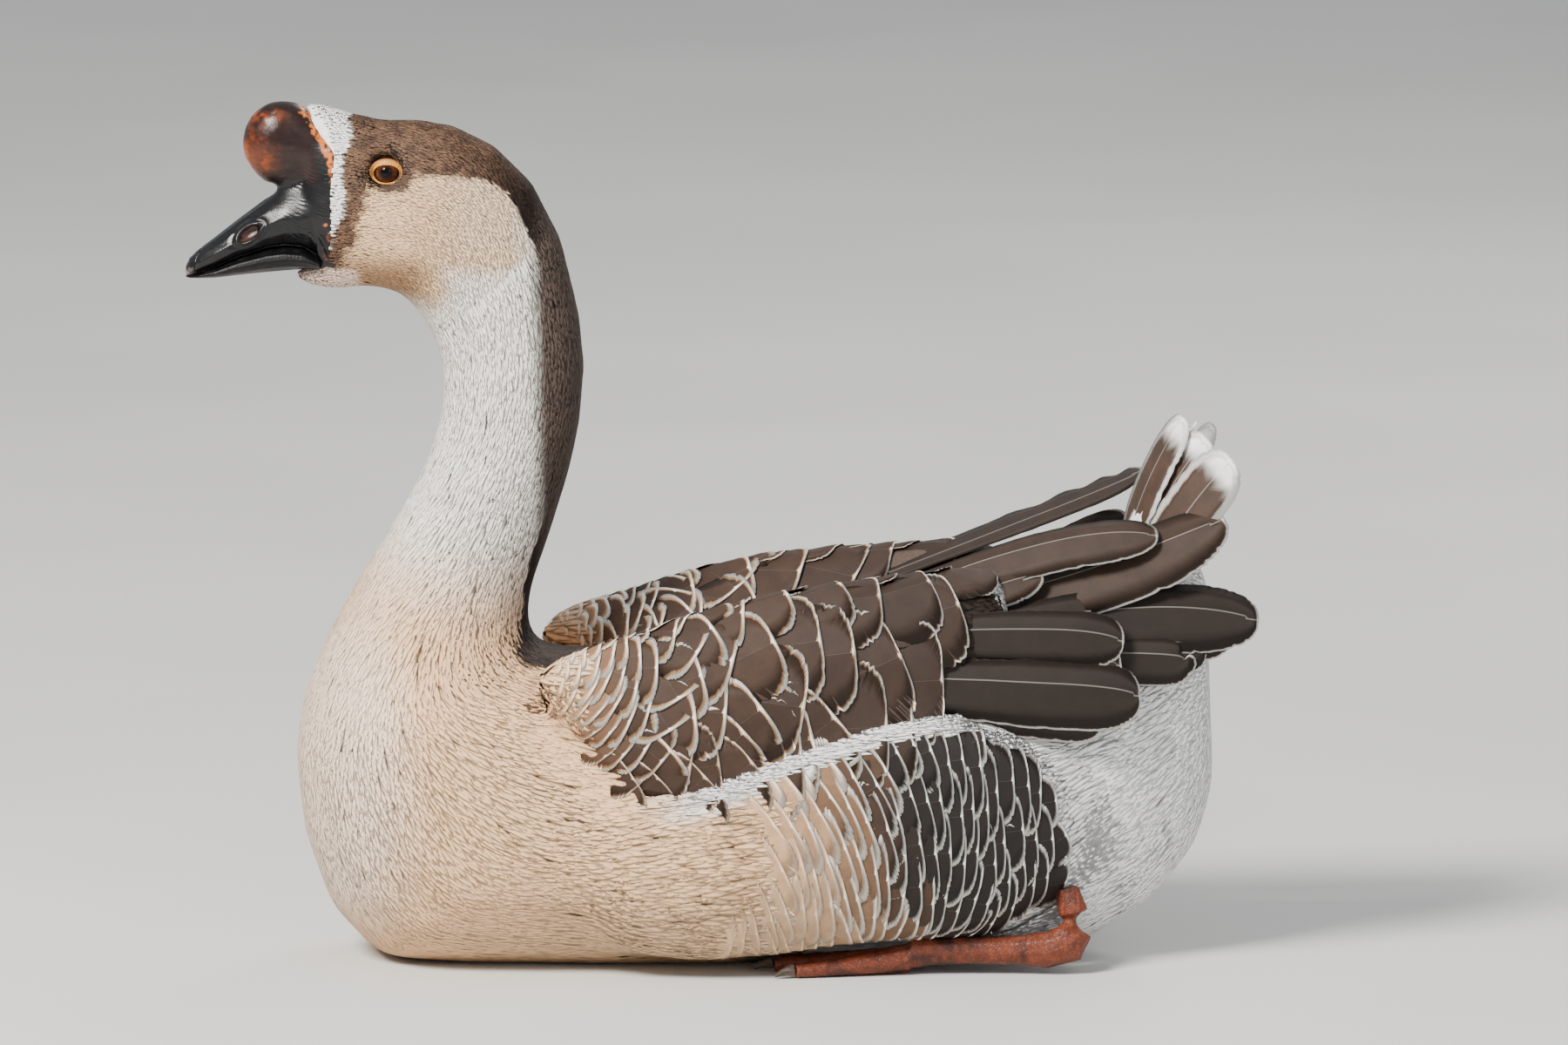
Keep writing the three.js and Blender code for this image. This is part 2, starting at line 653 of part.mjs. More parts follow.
function buildBill(bodyAround) {
  const upper = upperHalf().subtract(bodyAround);
  const horn = upper.subtract(nailBlock(GAP)).subtract(nostril(LEFT)).subtract(nostril(RIGHT));
  goose.add(named('bill_upper', horn, BILL_BLACK));
  goose.add(named('bill_nail', upper.intersect(nailBlock(0)), NAIL_GREY));
  const lower = billHalf('tomium', 'under', BILL_WIDEST.lower, 0).subtract(bodyAround);
  goose.add(named('bill_lower', lower.subtract(upperHalf(GAP)), BILL_BLACK));
  const knob = knobBall().subtract(bodyAround).subtract(upperHalf(GAP));
  goose.add(named('knob', knob, KNOB_BLACK));
}

function buildLengthsOfNeck(body) {
  const neckBlock = halfSpace(NECK_BACK_X, 0, -1, 0);
  let rest = body.intersect(neckBlock);
  const names = ['head', 'neck_upper', 'neck_middle', 'neck_lower'];
  const colours = [CAP_BROWN, NECK_CREAM, NECK_CREAM, NECK_CREAM];
  NECK_CUTS.forEach((cut, index) => {
    const above = halfSpace(cut.x, cut.z, cut.slope, 1, GAP / 2);
    const below = halfSpace(cut.x, cut.z, -cut.slope, -1, GAP / 2);
    goose.add(named(names[index], rest.intersect(above), colours[index]));
    rest = rest.intersect(below);
  });
}

function buildTrunk(body) {
  const neckCut = NECK_CUTS[NECK_CUTS.length - 1];
  const neckAbove = halfSpace(neckCut.x, neckCut.z, neckCut.slope, 1, -GAP / 2);
  const low = body.subtract(neckAbove.intersect(halfSpace(NECK_BACK_X, 0, -1, 0)));
  const inFrontOf = (x) => halfSpace(x - GAP / 2, 0, -1, 0);
  const behind = (x) => halfSpace(x + GAP / 2, 0, 1, 0);
  goose.add(named('breast', low.intersect(inFrontOf(BREAST_END_X)), BREAST_BUFF));
  const trunk = low.intersect(behind(BREAST_END_X)).intersect(inFrontOf(TRUNK_END_X));
  goose.add(named('trunk', trunk, BELLY_WHITE));
  goose.add(named('abdomen', low.intersect(behind(TRUNK_END_X)), BELLY_WHITE));
}

function buildEyes() {
  for (const side of [LEFT, RIGHT]) {
    goose.add(named(sideName('eye', side), eyeball(side, 0), EYE_BROWN));
    const lid = eyelid(side).subtract(eyeball(side, GAP));
    goose.add(named(sideName('eyelid', side), lid, LID_ORANGE));
  }
}

function buildWing(side, bodyAround) {
  const shellAround = covertShell(side, GAP);
  const coverts = covertShell(side, 0).subtract(bodyAround);
  goose.add(named(sideName('wing_coverts', side), coverts, WING_BROWN));
  let around = bodyAround.add(shellAround).add(tailFan(2 * GAP));
  const layers = [['wing_secondaries', SECONDARIES], ['wing_tertial_outer', [TERTIAL_OUTER]],
    ['wing_tertial_inner', [TERTIAL_INNER]], ['wing_primaries', PRIMARIES]];
  for (const [name, list] of layers) {
    let vanes = feathers(list, side).subtract(around);
    if (list === PRIMARIES) {
      vanes = vanes.intersect(halfSpace(PRIMARIES_SHOW_FROM, 0, 1, 0));
    }
    goose.add(named(sideName(name, side), vanes, QUILL_BROWN));
    around = around.add(feathers(list, side, GAP));
  }
  const flank = flankPad(side).intersect(ABOVE_FLOOR).subtract(around).subtract(tarsus(side, GAP));
  goose.add(named(sideName('flank', side), flank, FLANK_BARRED));
}

function buildLeg(side) {
  const rearOf = halfSpace(TOE_JOINT.x + GAP / 2, 0, 1, 0).intersect(ABOVE_FLOOR);
  const aheadOf = halfSpace(TOE_JOINT.x - GAP / 2, 0, -1, 0).intersect(ABOVE_FLOOR);
  goose.add(named(sideName('tarsus', side), tarsus(side, 0).intersect(rearOf), LEG_ORANGE));
  const foot = TOES.reduce((all, shape) => all.add(toe(side, shape)), web(side));
  goose.add(named(sideName('foot', side), foot.intersect(aheadOf), LEG_ORANGE));
  for (const shape of TOES) {
    const horn = claw(side, shape).intersect(ABOVE_FLOOR);
    goose.add(named(sideName(`claw_${shape.name}`, side), horn, CLAW_HORN));
  }
  const hallux = hindToe(side).subtract(tarsus(side, GAP));
  goose.add(named(sideName('hallux', side), hallux, LEG_ORANGE));
}

// The hollows in the body that the eyes, the lids and the legs lie in.
function carved(body) {
  let shape = body.intersect(ABOVE_FLOOR);
  for (const side of [LEFT, RIGHT]) {
    shape = shape.subtract(eyeSocket(side)).subtract(tarsus(side, GAP)).subtract(footBed(side));
  }
  return shape;
}

const bodyAround = wholeBody(GAP);
const body = carved(wholeBody());
buildBill(bodyAround);
buildLengthsOfNeck(body);
buildTrunk(body);
buildEyes();
for (const side of [LEFT, RIGHT]) {
  buildWing(side, bodyAround);
  buildLeg(side);
}
goose.add(named('tail', tailFan().subtract(bodyAround), QUILL_BROWN));

const box = new THREE.Box3().setFromObject(goose);
const middle = box.getCenter(new THREE.Vector3());
goose.position.set(-middle.x, -middle.y, -box.min.z);

export default goose;
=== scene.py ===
"""The looks of a sitting brown domestic goose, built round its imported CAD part.

The bird faces -X with its left side to the camera at -Y. Shapes are worked out in millimetres in
the part's own frame, and pieces are made in metres. One skin stands for the nodes of flesh, and
every feather over it is a thin closed vane that follows the lie of the plumage.
"""

import itertools
import math

import bmesh
import bpy
import numpy as np
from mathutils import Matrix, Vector
from mathutils.bvhtree import BVHTree


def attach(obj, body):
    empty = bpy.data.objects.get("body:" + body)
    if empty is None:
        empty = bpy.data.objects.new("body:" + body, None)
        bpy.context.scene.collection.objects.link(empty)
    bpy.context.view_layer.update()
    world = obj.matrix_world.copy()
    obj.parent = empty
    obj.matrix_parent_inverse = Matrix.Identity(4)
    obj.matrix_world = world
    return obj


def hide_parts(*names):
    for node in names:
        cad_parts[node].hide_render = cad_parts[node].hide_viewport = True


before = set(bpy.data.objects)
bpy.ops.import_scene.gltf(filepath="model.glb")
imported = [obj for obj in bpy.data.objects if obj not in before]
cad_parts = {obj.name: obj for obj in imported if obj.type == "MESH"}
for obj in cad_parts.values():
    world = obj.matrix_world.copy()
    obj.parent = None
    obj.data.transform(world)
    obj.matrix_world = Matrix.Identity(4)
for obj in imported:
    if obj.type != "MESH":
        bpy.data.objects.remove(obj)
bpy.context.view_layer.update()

MM = 0.001  # metres in the unit that this script works in
SIDES = {"left": -1, "right": 1}
RNG = np.random.default_rng(7)

# ---------------------------------------------------------------- view of the goose
VIEW_TARGET = (35.5, 0, 251)  # mm
VIEW_DISTANCE = 10000  # mm
VIEW_ELEVATION = 9  # degrees
LENS = 400
SENSOR = 36

# ---------------------------------------------------------------- flesh and coat
FLESH = ["head", "neck_upper", "neck_middle", "neck_lower", "breast", "trunk", "abdomen"]
FLESH += ["flank_left", "flank_right", "wing_coverts_left", "wing_coverts_right"]
SKIN_VOXEL = 2.9
OVERLAP = 0.8  # how far the nodes are swollen so that they meet as one skin
FLOOR_GAP = 0.1  # nothing lies nearer to the floor than this

# Lines across the body in its mirror plane, from the bill to the tail: x and z of the back or
# nape end, then x and z of the throat or belly end. Feathers lie along the way they advance.
STATIONS = np.array([
    (-262, 492, -262, 380),
    (-222, 492.5, -216, 388.3),
    (-176, 485, -185, 384.5),
    (-148, 479.5, -175, 375),
    (-117, 459, -167.5, 363),
    (-94, 421, -162, 350),
    (-80, 366, -160, 333),
    (-79, 325, -161.5, 314),
    (-87, 282, -171, 284),
    (-100, 240, -195, 241),
    (-111, 205, -221, 198),
    (-108, 183, -240, 152),
    (-85, 177, -245.5, 112),
    (-50, 179, -234, 50),
    (-10, 182, -206, 4),
    (30, 185, -150, -4),
    (75, 188, -30, -5),
    (115, 191, 90, -5),
    (160, 201, 170, -3),
    (205, 219, 222, 14),
    (250, 238, 266, 52),
    (285, 240, 292, 98),
    (320, 240, 330, 120),
], float)

# ---------------------------------------------------------------- markings, seen from the side
CAP_EDGE = [(-190, 456), (-174, 451.6), (-144, 451.6), (-134, 449), (-127, 445.6)]  # x, z
NAPE_EDGE = [  # z, x
    (180, -113.5), (211, -114.5), (231, -109.5), (252, -102), (272, -95.5), (292, -92),
    (322, -89), (353, -90.5), (375, -95.5), (403, -103.5), (421, -112), (440, -122), (446, -127),
]
# Front and back edges of the white band behind the bill, as z, x.
BAND_FRONT = [(408, -226), (416, -224.5), (429, -224.5), (447, -224), (467, -222.5), (475, -225),
              (484.6, -228.5), (497, -242)]
BAND_BACK = [(408, -226), (416, -224), (423, -221), (429, -218), (438, -216.5), (454, -219),
             (464, -218), (469, -215.5), (477, -213.5), (484.6, -215.5), (492, -212)]
# The upper edge of the flank's feathers, where they lie over the wing, as x and height seen.
FLANK_TOP = [(-104, 168), (-87, 135), (-69.5, 115), (-58.5, 96), (-50, 89), (-14.5, 94.7),
             (35.5, 113.9), (85.5, 131.1), (110.5, 135.2), (140.5, 139.2), (165.5, 129.1),
             (185.5, 119), (205.5, 89.6)]
LORES_EDGE = [(400, -217), (410, -215), (425, -211), (437, -206), (455, -203), (470, -198)]


def srgb(red, green, blue):
    """The linear colour of one given in steps of 0 to 255."""
    c = np.array([red, green, blue]) / 255
    return np.where(c <= 0.04045, c / 12.92, ((c + 0.055) / 1.055) ** 2.4)


NECK_WHITE = srgb(250, 245, 236)
BREAST_BUFF = srgb(244, 198, 154)
# The belly's buff, made darker and greyer as painted shade low under the body.
SHADED_BELLY_BUFF = srgb(222, 186, 148)
CHEEK_CREAM = srgb(236, 196, 154)
JAW_BUFF = srgb(150, 112, 82)
CHIN_PINK = srgb(232, 204, 186)
CAP_BROWN = srgb(120, 90, 69)
CAP_DARK = srgb(62, 45, 36)
NAPE_DARK = srgb(36, 22, 16)
BAND_WHITE = srgb(253, 252, 249)
BACK_BROWN = srgb(88, 74, 66)
VENT_WHITE = srgb(252, 251, 248)
FEATHER_BROWN = srgb(57, 39, 28)
FEATHER_PALE = srgb(142, 104, 78)
FEATHER_DARK = srgb(39, 27, 20)
FRINGE_WHITE = srgb(252, 248, 240)
FRINGE_BUFF = srgb(196, 152, 112)
BAR_DARK = srgb(26, 18, 15)
BAR_BROWN = srgb(104, 72, 50)


# ---------------------------------------------------------------- numbers
def smooth(start, end, value):
    """Rises smoothly from 0 at start to 1 at end, and falls if end is the smaller one."""
    t = np.clip((value - start) / (end - start), 0, 1)
    return t * t * (3 - 2 * t)


def mix(a, b, share):
    """Colours between a and b, with a share of b for each point."""
    return a + (b - a) * np.asarray(share)[..., None]


def unit(vectors):
    """The vectors made one long."""
    return vectors / np.maximum(np.linalg.norm(vectors, axis=-1, keepdims=True), 1e-9)


def table(pairs, value):
    """Reads a list of pairs, with the first numbers rising, at a value."""
    keys, results = zip(*pairs)
    return np.interp(value, keys, results)


def noise(points, size, seed=0):
    """Smooth random values from -1 to 1, in lumps of the given size."""
    place = points / size + 31.7 * (seed + 1)
    cell = np.floor(place).astype(np.int64)
    part = place - cell
    part = part * part * (3 - 2 * part)
    total = np.zeros(len(points))
    for corner in itertools.product((0, 1), repeat=3):
        key = cell + corner
        mixed = key[:, 0] * 374761393 + key[:, 1] * 668265263 + key[:, 2] * 1442695041 + seed * 97
        mixed = (mixed ^ (mixed >> 13)) * 1274126177 & 0xFFFFFFFF
        value = ((mixed ^ (mixed >> 16)) & 0xFFFF) / 32767.5 - 1
        weight = np.prod(np.where(corner, part, 1 - part), axis=1)
        total += weight * value
    return total


# ---------------------------------------------------------------- the body's own coordinates
FINE_STATIONS = 360
STATION_BLUR = 15
CHUNK = 8000  # points handled at a time, to save memory


def fine_stations():
    """The lines across the body, many of them and evened out."""
    steps = np.linspace(0, len(STATIONS) - 1, FINE_STATIONS)
    known = np.arange(len(STATIONS))
    lines = np.stack([np.interp(steps, known, STATIONS[:, i]) for i in range(4)], axis=1)
    blur = np.ones(STATION_BLUR) / STATION_BLUR
    padded = np.pad(lines, ((STATION_BLUR // 2, STATION_BLUR // 2), (0, 0)), mode="edge")
    return np.stack([np.convolve(padded[:, i], blur, mode="valid") for i in range(4)], axis=1)


LINES = fine_stations()
LINE_STEPS = np.gradient(LINES, axis=0)


def body_place(points):
    """For each point, how far along the body it lies, how deep between back (0) and belly (1),
    and its angle round the body from the back."""
    along = np.empty(len(points))
    depth = np.empty(len(points))
    back, front = LINES[:, :2], LINES[:, 2:]
    span = front - back
    reach = np.linalg.norm(span, axis=1)
    for first in range(0, len(points), CHUNK):
        chunk = slice(first, first + CHUNK)
        part = points[chunk][:, None, [0, 2]] - back[None]
        off = (span[None, :, 0] * part[..., 1] - span[None, :, 1] * part[..., 0]) / reach
        share = (part * span[None]).sum(-1) / reach**2
        outside = np.maximum(0, -0.05 - share) + np.maximum(0, share - 1.05)
        best = np.argmin(np.abs(off) + 60 * outside, axis=1)
        rows = np.arange(len(best))
        slope = off[rows, np.minimum(best + 1, FINE_STATIONS - 1)] - off[rows, best]
        shift = np.where(np.abs(slope) > 1e-6, -off[rows, best] / np.where(slope == 0, 1, slope), 0)
        along[chunk] = (best + np.clip(shift, -1, 1)) / (FINE_STATIONS - 1)
        depth[chunk] = share[rows, best]
    half = 30 + 60 * smooth(0.38, 0.55, along)
    angle = np.arctan2(points[:, 1] / half, 1 - 2 * depth)
    return along, depth, angle


def unwrap(points):
    """Where points lie on a flat map of the body, cut open along the throat and belly."""
    along, _, angle = body_place(points)
    return np.stack([0.02 + 0.95 * along, 0.5 + 0.95 * angle / (2 * math.pi)], axis=1)


def lie(points):
    """The way the plumage lies: along the body, away from the bill."""
    along, depth, _ = body_place(points)
    row = np.clip((along * (FINE_STATIONS - 1)).astype(int), 0, FINE_STATIONS - 1)
    step = LINE_STEPS[row]
    share = smooth(0, 1, depth)[:, None]
    flat = unit(step[:, :2]) * (1 - share) + unit(step[:, 2:]) * share
    way = np.stack([flat[:, 0], np.zeros(len(points)), flat[:, 1]], axis=1)
    return unit(way)


# ---------------------------------------------------------------- meshes
def nodes_arrays(names, grow=0.0):
    """Welded points and triangles of CAD nodes, swollen by a distance, and each face's node."""
    points, faces, owners, count = [], [], [], 0
    for number, name in enumerate(names):
        shape = bmesh.new()
        shape.from_mesh(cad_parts[name].data)
        bmesh.ops.remove_doubles(shape, verts=shape.verts, dist=1e-5)
        bmesh.ops.triangulate(shape, faces=shape.faces)
        shape.normal_update()
        co = np.array([v.co for v in shape.verts]) / MM
        normal = np.array([v.normal for v in shape.verts])
        tri = np.array([[v.index for v in f.verts] for f in shape.faces])
        shape.free()
        points.append(co + grow * normal)
        faces.append(tri + count)
        owners.append(np.full(len(tri), number))
        count += len(co)
    return np.concatenate(points), np.concatenate(faces), np.concatenate(owners)


def fill_mesh(mesh, points, faces):
    """Puts points in millimetres and faces, a list of arrays with 3 or 4 columns, in a mesh."""
    corners = np.concatenate([np.asarray(f).ravel() for f in faces]).astype(np.int32)
    sizes = np.concatenate([np.full(len(f), np.shape(f)[1]) for f in faces])
    starts = np.concatenate([[0], np.cumsum(sizes)[:-1]]).astype(np.int32)
    mesh.vertices.add(len(points))
    mesh.vertices.foreach_set("co", (points * MM).astype(np.float32).ravel())
    mesh.loops.add(len(corners))
    mesh.loops.foreach_set("vertex_index", corners)
    mesh.polygons.add(len(sizes))
    mesh.polygons.foreach_set("loop_start", starts)
    mesh.polygons.foreach_set("use_smooth", np.ones(len(sizes), bool))
    mesh.update(calc_edges=True)


def mesh_arrays(mesh):
    """Points in millimetres, their normals, and the faces of a mesh with one size of face."""
    points = np.empty(len(mesh.vertices) * 3, np.float32)
    normals = np.empty(len(mesh.vertices) * 3, np.float32)
    mesh.vertices.foreach_get("co", points)
    mesh.vertices.foreach_get("normal", normals)
    corners = np.empty(len(mesh.loops), np.int32)
    mesh.loops.foreach_get("vertex_index", corners)
    size = mesh.polygons[0].loop_total
    points = points.reshape(-1, 3).astype(float) / MM
    return points, normals.reshape(-1, 3).astype(float), corners.reshape(-1, size)


def remeshed(points, faces, voxel, rounds=2):
    """One closed even surface round overlapping closed shapes."""
    mesh = bpy.data.meshes.new("raw")
    fill_mesh(mesh, points, [faces])
    holder = bpy.data.objects.new("raw", mesh)
    bpy.context.scene.collection.objects.link(holder)
    change = holder.modifiers.new("even", "REMESH")
    change.mode = "VOXEL"
    change.voxel_size = voxel * MM
    soften = holder.modifiers.new("soften", "SMOOTH")
    soften.factor = 0.5
    soften.iterations = rounds
    graph = bpy.context.evaluated_depsgraph_get()
    even = bpy.data.meshes.new_from_object(holder.evaluated_get(graph))
    result = mesh_arrays(even)
    bpy.data.objects.remove(holder)
    bpy.data.meshes.remove(mesh)
    bpy.data.meshes.remove(even)
    return result


def vertex_normals(points, faces):
    """Normals of the points of a surface of triangles or quads."""
    a, b, c = points[faces[:, 0]], points[faces[:, 1]], points[faces[:, -1]]
    face = np.cross(b - a, c - a)
    total = np.zeros_like(points)
    for column in range(faces.shape[1]):
        np.add.at(total, faces[:, column], face)
    return unit(total)


def relaxed(points, faces, weight, rounds):
    """Points moved towards the middle of their neighbours, as far as their weight says."""
    pairs = np.concatenate([faces[:, [i, (i + 1) % faces.shape[1]]] for i in range(faces.shape[1])])
    count = np.bincount(pairs[:, 0], minlength=len(points))[:, None]
    for _ in range(rounds):
        total = [np.bincount(pairs[:, 0], points[pairs[:, 1], i], len(points)) for i in range(3)]
        total = np.stack(total, axis=1)
        points = points + (total / count - points) * weight[:, None]
    return points


TRIES = 3.6  # points tried for each square of the spacing


class Surface:
    """A surface in millimetres on which points can be found."""

    def __init__(self, points, faces):
        self.points = points
        self.faces = faces
        self.tree = BVHTree.FromPolygons(points.tolist(), faces.tolist())
        self.normals = vertex_normals(points, faces)

    def nearest(self, points):
        """The nearest surface points, their smooth normals and the faces that they lie on."""
        find = self.tree.find_nearest
        places, index = [], []
        for point in points.reshape(-1, 3).tolist():
            place, _, face, _ = find(point)
            places.append(place[:])
            index.append(face)
        index, places = np.array(index), np.array(places)
        corners = self.faces[index]
        gap = np.linalg.norm(self.points[corners] - places[:, None], axis=2, keepdims=True)
        return places, unit((self.normals[corners] / (gap**2 + 0.05)).sum(axis=1)), index

    def scatter(self, spacing, allowed):
        """Random points at least the spacing apart on the faces where allowed(points) is true."""
        tri = self.faces[:, :3]
        if self.faces.shape[1] == 4:
            tri = np.concatenate([tri, self.faces[:, [0, 2, 3]]])
        middle = self.points[tri].mean(axis=1)
        tri = tri[allowed(middle)]
        corner = self.points[tri]
        across = np.cross(corner[:, 1] - corner[:, 0], corner[:, 2] - corner[:, 0])
        area = np.linalg.norm(across, axis=1) / 2
        wanted = int(TRIES * area.sum() / spacing**2)
        pick = RNG.choice(len(tri), wanted, p=area / area.sum())
        a, b = RNG.random(wanted), RNG.random(wanted)
        a, b = np.where(a + b > 1, 1 - a, a), np.where(a + b > 1, 1 - b, b)
        c = corner[pick]
        candidates = c[:, 0] + (c[:, 1] - c[:, 0]) * a[:, None] + (c[:, 2] - c[:, 0]) * b[:, None]
        return candidates[apart(candidates, spacing)]


def apart(points, spacing):
    """Which of the points to keep so that no two are nearer than the spacing."""
    cells, keep, least = {}, [], spacing**2
    around = list(itertools.product((-1, 0, 1), repeat=3))
    for number, (x, y, z) in enumerate(points.tolist()):
        i, j, k = int(x // spacing), int(y // spacing), int(z // spacing)
        clear = True
        for di, dj, dk in around:
            other = cells.get((i + di, j + dj, k + dk))
            if other and (other[0] - x) ** 2 + (other[1] - y) ** 2 + (other[2] - z) ** 2 < least:
                clear = False
                break
        if clear:
            cells[i, j, k] = (x, y, z)
            keep.append(number)
    return np.array(keep)


def paint(mesh, name, colours):
    """Gives each point of a mesh a colour, in a layer with a name."""
    layer = mesh.color_attributes.new(name=name, type="FLOAT_COLOR", domain="POINT")
    rgba = np.ones((len(colours), 4), np.float32)
    rgba[:, :3] = colours
    layer.data.foreach_set("color", rgba.ravel())


def make_piece(name, points, faces, finish, stands_for=(), colour=None, values=None, uv=None):
    """A piece of the goose from points in millimetres and a list of face arrays."""
    mesh = bpy.data.meshes.new(name)
    fill_mesh(mesh, points, faces)
    if colour is not None:
        paint(mesh, "tint", np.clip(colour, 0, 1))
    for label, numbers in (values or {}).items():
        vector = numbers.size == 3 * len(points)
        layer = mesh.attributes.new(label, "FLOAT_VECTOR" if vector else "FLOAT", "POINT")
        layer.data.foreach_set("vector" if vector else "value", numbers.astype(np.float32).ravel())
    if uv is not None:
        corners = np.empty(len(mesh.loops), np.int32)
        mesh.loops.foreach_get("vertex_index", corners)
        layer = mesh.uv_layers.new(name="OFBake")
        layer.data.foreach_set("uv", uv[corners].astype(np.float32).ravel())
    mesh.materials.append(finish)
    piece = bpy.data.objects.new(name, mesh)
    bpy.context.scene.collection.objects.link(piece)
    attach(piece, "root")
    if stands_for:
        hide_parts(*stands_for)
    return piece


# ---------------------------------------------------------------- materials
class Finish:
    """A material under construction: its nodes and its shader."""

    def __init__(self, name, roughness, specular=0.5):
        self.material = bpy.data.materials.new(name)
        self.material.use_nodes = True
        self.nodes = self.material.node_tree.nodes
        self.links = self.material.node_tree.links
        self.shader = self.nodes["Principled BSDF"]
        self.shader.inputs["Roughness"].default_value = roughness
        self.shader.inputs["Specular IOR Level"].default_value = specular

    def node(self, kind, settings=None, **inputs):
        """Adds a node. Its inputs are given by name, or by number after an underscore."""
        made = self.nodes.new(kind)
        for key, value in (settings or {}).items():
            setattr(made, key, value)
        for key, value in inputs.items():
            socket = made.inputs[int(key[1:]) if key[1:].isdigit() else key.replace("_", " ")]
            if isinstance(value, bpy.types.NodeSocket):
                self.links.new(value, socket)
            else:
                socket.default_value = value
        return made

    def here(self):
        return self.node("ShaderNodeTexCoord").outputs["Object"]

    def attribute(self, name, output="Fac"):
        return self.node("ShaderNodeAttribute", {"attribute_name": name}).outputs[output]

    def noise(self, scale, detail=3.0, stretch=None):
        """Smooth random values over the piece, mostly between 0.3 and 0.7."""
        vector = self.here()
        if stretch:
            vector = self.node("ShaderNodeMapping", Vector=vector, Scale=stretch).outputs[0]
        made = self.node("ShaderNodeTexNoise", Vector=vector, Scale=scale, Detail=detail)
        made.inputs["Roughness"].default_value = 0.55
        return made.outputs["Fac"]

    def math(self, operation, first, second=0.0):
        return self.node("ShaderNodeMath", {"operation": operation}, _0=first, _1=second).outputs[0]

    def spread(self, value, low, high, to_low=0.0, to_high=1.0):
        """Maps a value from low..high to to_low..to_high, with smooth ends."""
        made = self.node("ShaderNodeMapRange", {"interpolation_type": "SMOOTHSTEP"}, Value=value)
        limits = {"From Min": low, "From Max": high, "To Min": to_low, "To Max": to_high}
        for key, number in limits.items():
            made.inputs[key].default_value = number
        return made.outputs[0]

    def uneven(self, value, least=0.0, most=1.0):
        """Spreads a noise, whose values lie mostly between 0.3 and 0.7, over a range."""
        return self.spread(value, 0.3, 0.7, least, most)

    def blend(self, share, *colours):
        """Mixes two colours, each a socket or three numbers, with a share of the second."""
        first, second = (c if isinstance(c, bpy.types.NodeSocket) else (*c, 1) for c in colours)
        made = self.node("ShaderNodeMix", {"data_type": "RGBA"}, _0=share, _6=first, _7=second)
        return made.outputs[2]

    def scaled(self, colour, factor):
        made = self.node("ShaderNodeVectorMath", {"operation": "SCALE"}, _0=colour, Scale=factor)
        return made.outputs[0]

    def tinted(self, factor):
        """The piece's own tint, lighter or darker by a factor."""
        return self.scaled(self.attribute("tint", "Color"), factor)

    def done(self, colour, bump=None, strength=0.3, distance=0.0004, roughness=None):
        """Joins the last nodes to the shader and gives the material."""
        self.links.new(colour, self.shader.inputs["Base Color"])
        if bump is not None:
            made = self.node("ShaderNodeBump", Height=bump, Strength=strength, Distance=distance)
            self.links.new(made.outputs[0], self.shader.inputs["Normal"])
        if roughness is not None:
            self.links.new(roughness, self.shader.inputs["Roughness"])
        return self.material


def skin_finish():
    """The skin between the feathers: down in the tint of the plumage over it."""
    f = Finish("downy_skin", 0.85, 0.2)
    down = f.noise(900, 4)
    return f.done(f.tinted(f.uneven(down, 0.8, 1.1)), down, 0.4)


def coat_finish():
    """Soft small feathers: their own tint, with fine hairs along each of them."""
    f = Finish("soft_coat", 0.72, 0.25)
    vector = f.node("ShaderNodeCombineXYZ", X=f.math("MULTIPLY", f.attribute("across"), 2.6),
                    Y=f.math("MULTIPLY", f.attribute("along"), 0.16), Z=f.attribute("kind")).outputs[0]
    hairs = f.node("ShaderNodeTexNoise", Vector=vector, Scale=1.0, Detail=3.0).outputs["Fac"]
    lumps = f.uneven(f.noise(140), 0.96, 1.03)
    colour = f.tinted(f.math("MULTIPLY", lumps, f.uneven(hairs, 0.92, 1.06)))
    # The shading follows the body under the coat more than the blades themselves.
    blade = f.scaled(f.node("ShaderNodeNewGeometry").outputs["Normal"], 0.05)
    body = f.attribute("up", "Vector")
    soft = f.node("ShaderNodeVectorMath", {"operation": "ADD"}, _0=blade, _1=body).outputs[0]
    level = f.node("ShaderNodeVectorMath", {"operation": "NORMALIZE"}, _0=soft).outputs[0]
    bump = f.node("ShaderNodeBump", Height=hairs, Strength=0.4, Distance=0.0003, Normal=level)
    f.links.new(bump.outputs[0], f.shader.inputs["Normal"])
    return f.done(colour)


def vane_finish():
    """Large feathers: a dark middle with fine barbs, a buff border and a white ragged fringe."""
    f = Finish("vane", 0.62, 0.35)
    rim = f.attribute("rim")
    across = f.node("ShaderNodeCombineXYZ", X=f.math("MULTIPLY", f.attribute("barb"), 3.1),
                    Y=f.math("MULTIPLY", rim, 0.22), Z=f.attribute("kind")).outputs[0]
    barbs = f.node("ShaderNodeTexNoise", Vector=across, Scale=2.2, Detail=2.0).outputs["Fac"]
    fine = f.node("ShaderNodeTexNoise", Vector=across, Scale=7.0, Detail=1.0).outputs["Fac"]
    uneven = f.math("ADD", rim, f.math("MULTIPLY", f.math("SUBTRACT", barbs, 0.5), 0.9))
    streak = f.math("MULTIPLY", f.uneven(fine, 0.82, 1.18), f.uneven(f.noise(90), 0.86, 1.14))
    fringe = f.attribute("fringe_tint", "Color")
    colour = f.blend(f.spread(uneven, 1.5, 2.4), f.attribute("border_tint", "Color"), f.tinted(streak))
    colour = f.blend(f.spread(uneven, 0.9, 1.45), fringe, colour)
    colour = f.blend(f.spread(f.attribute("shaft"), 0.4, 0.9, 0.16, 0.0), colour, fringe)
    return f.done(colour, f.math("ADD", fine, barbs), 0.35)


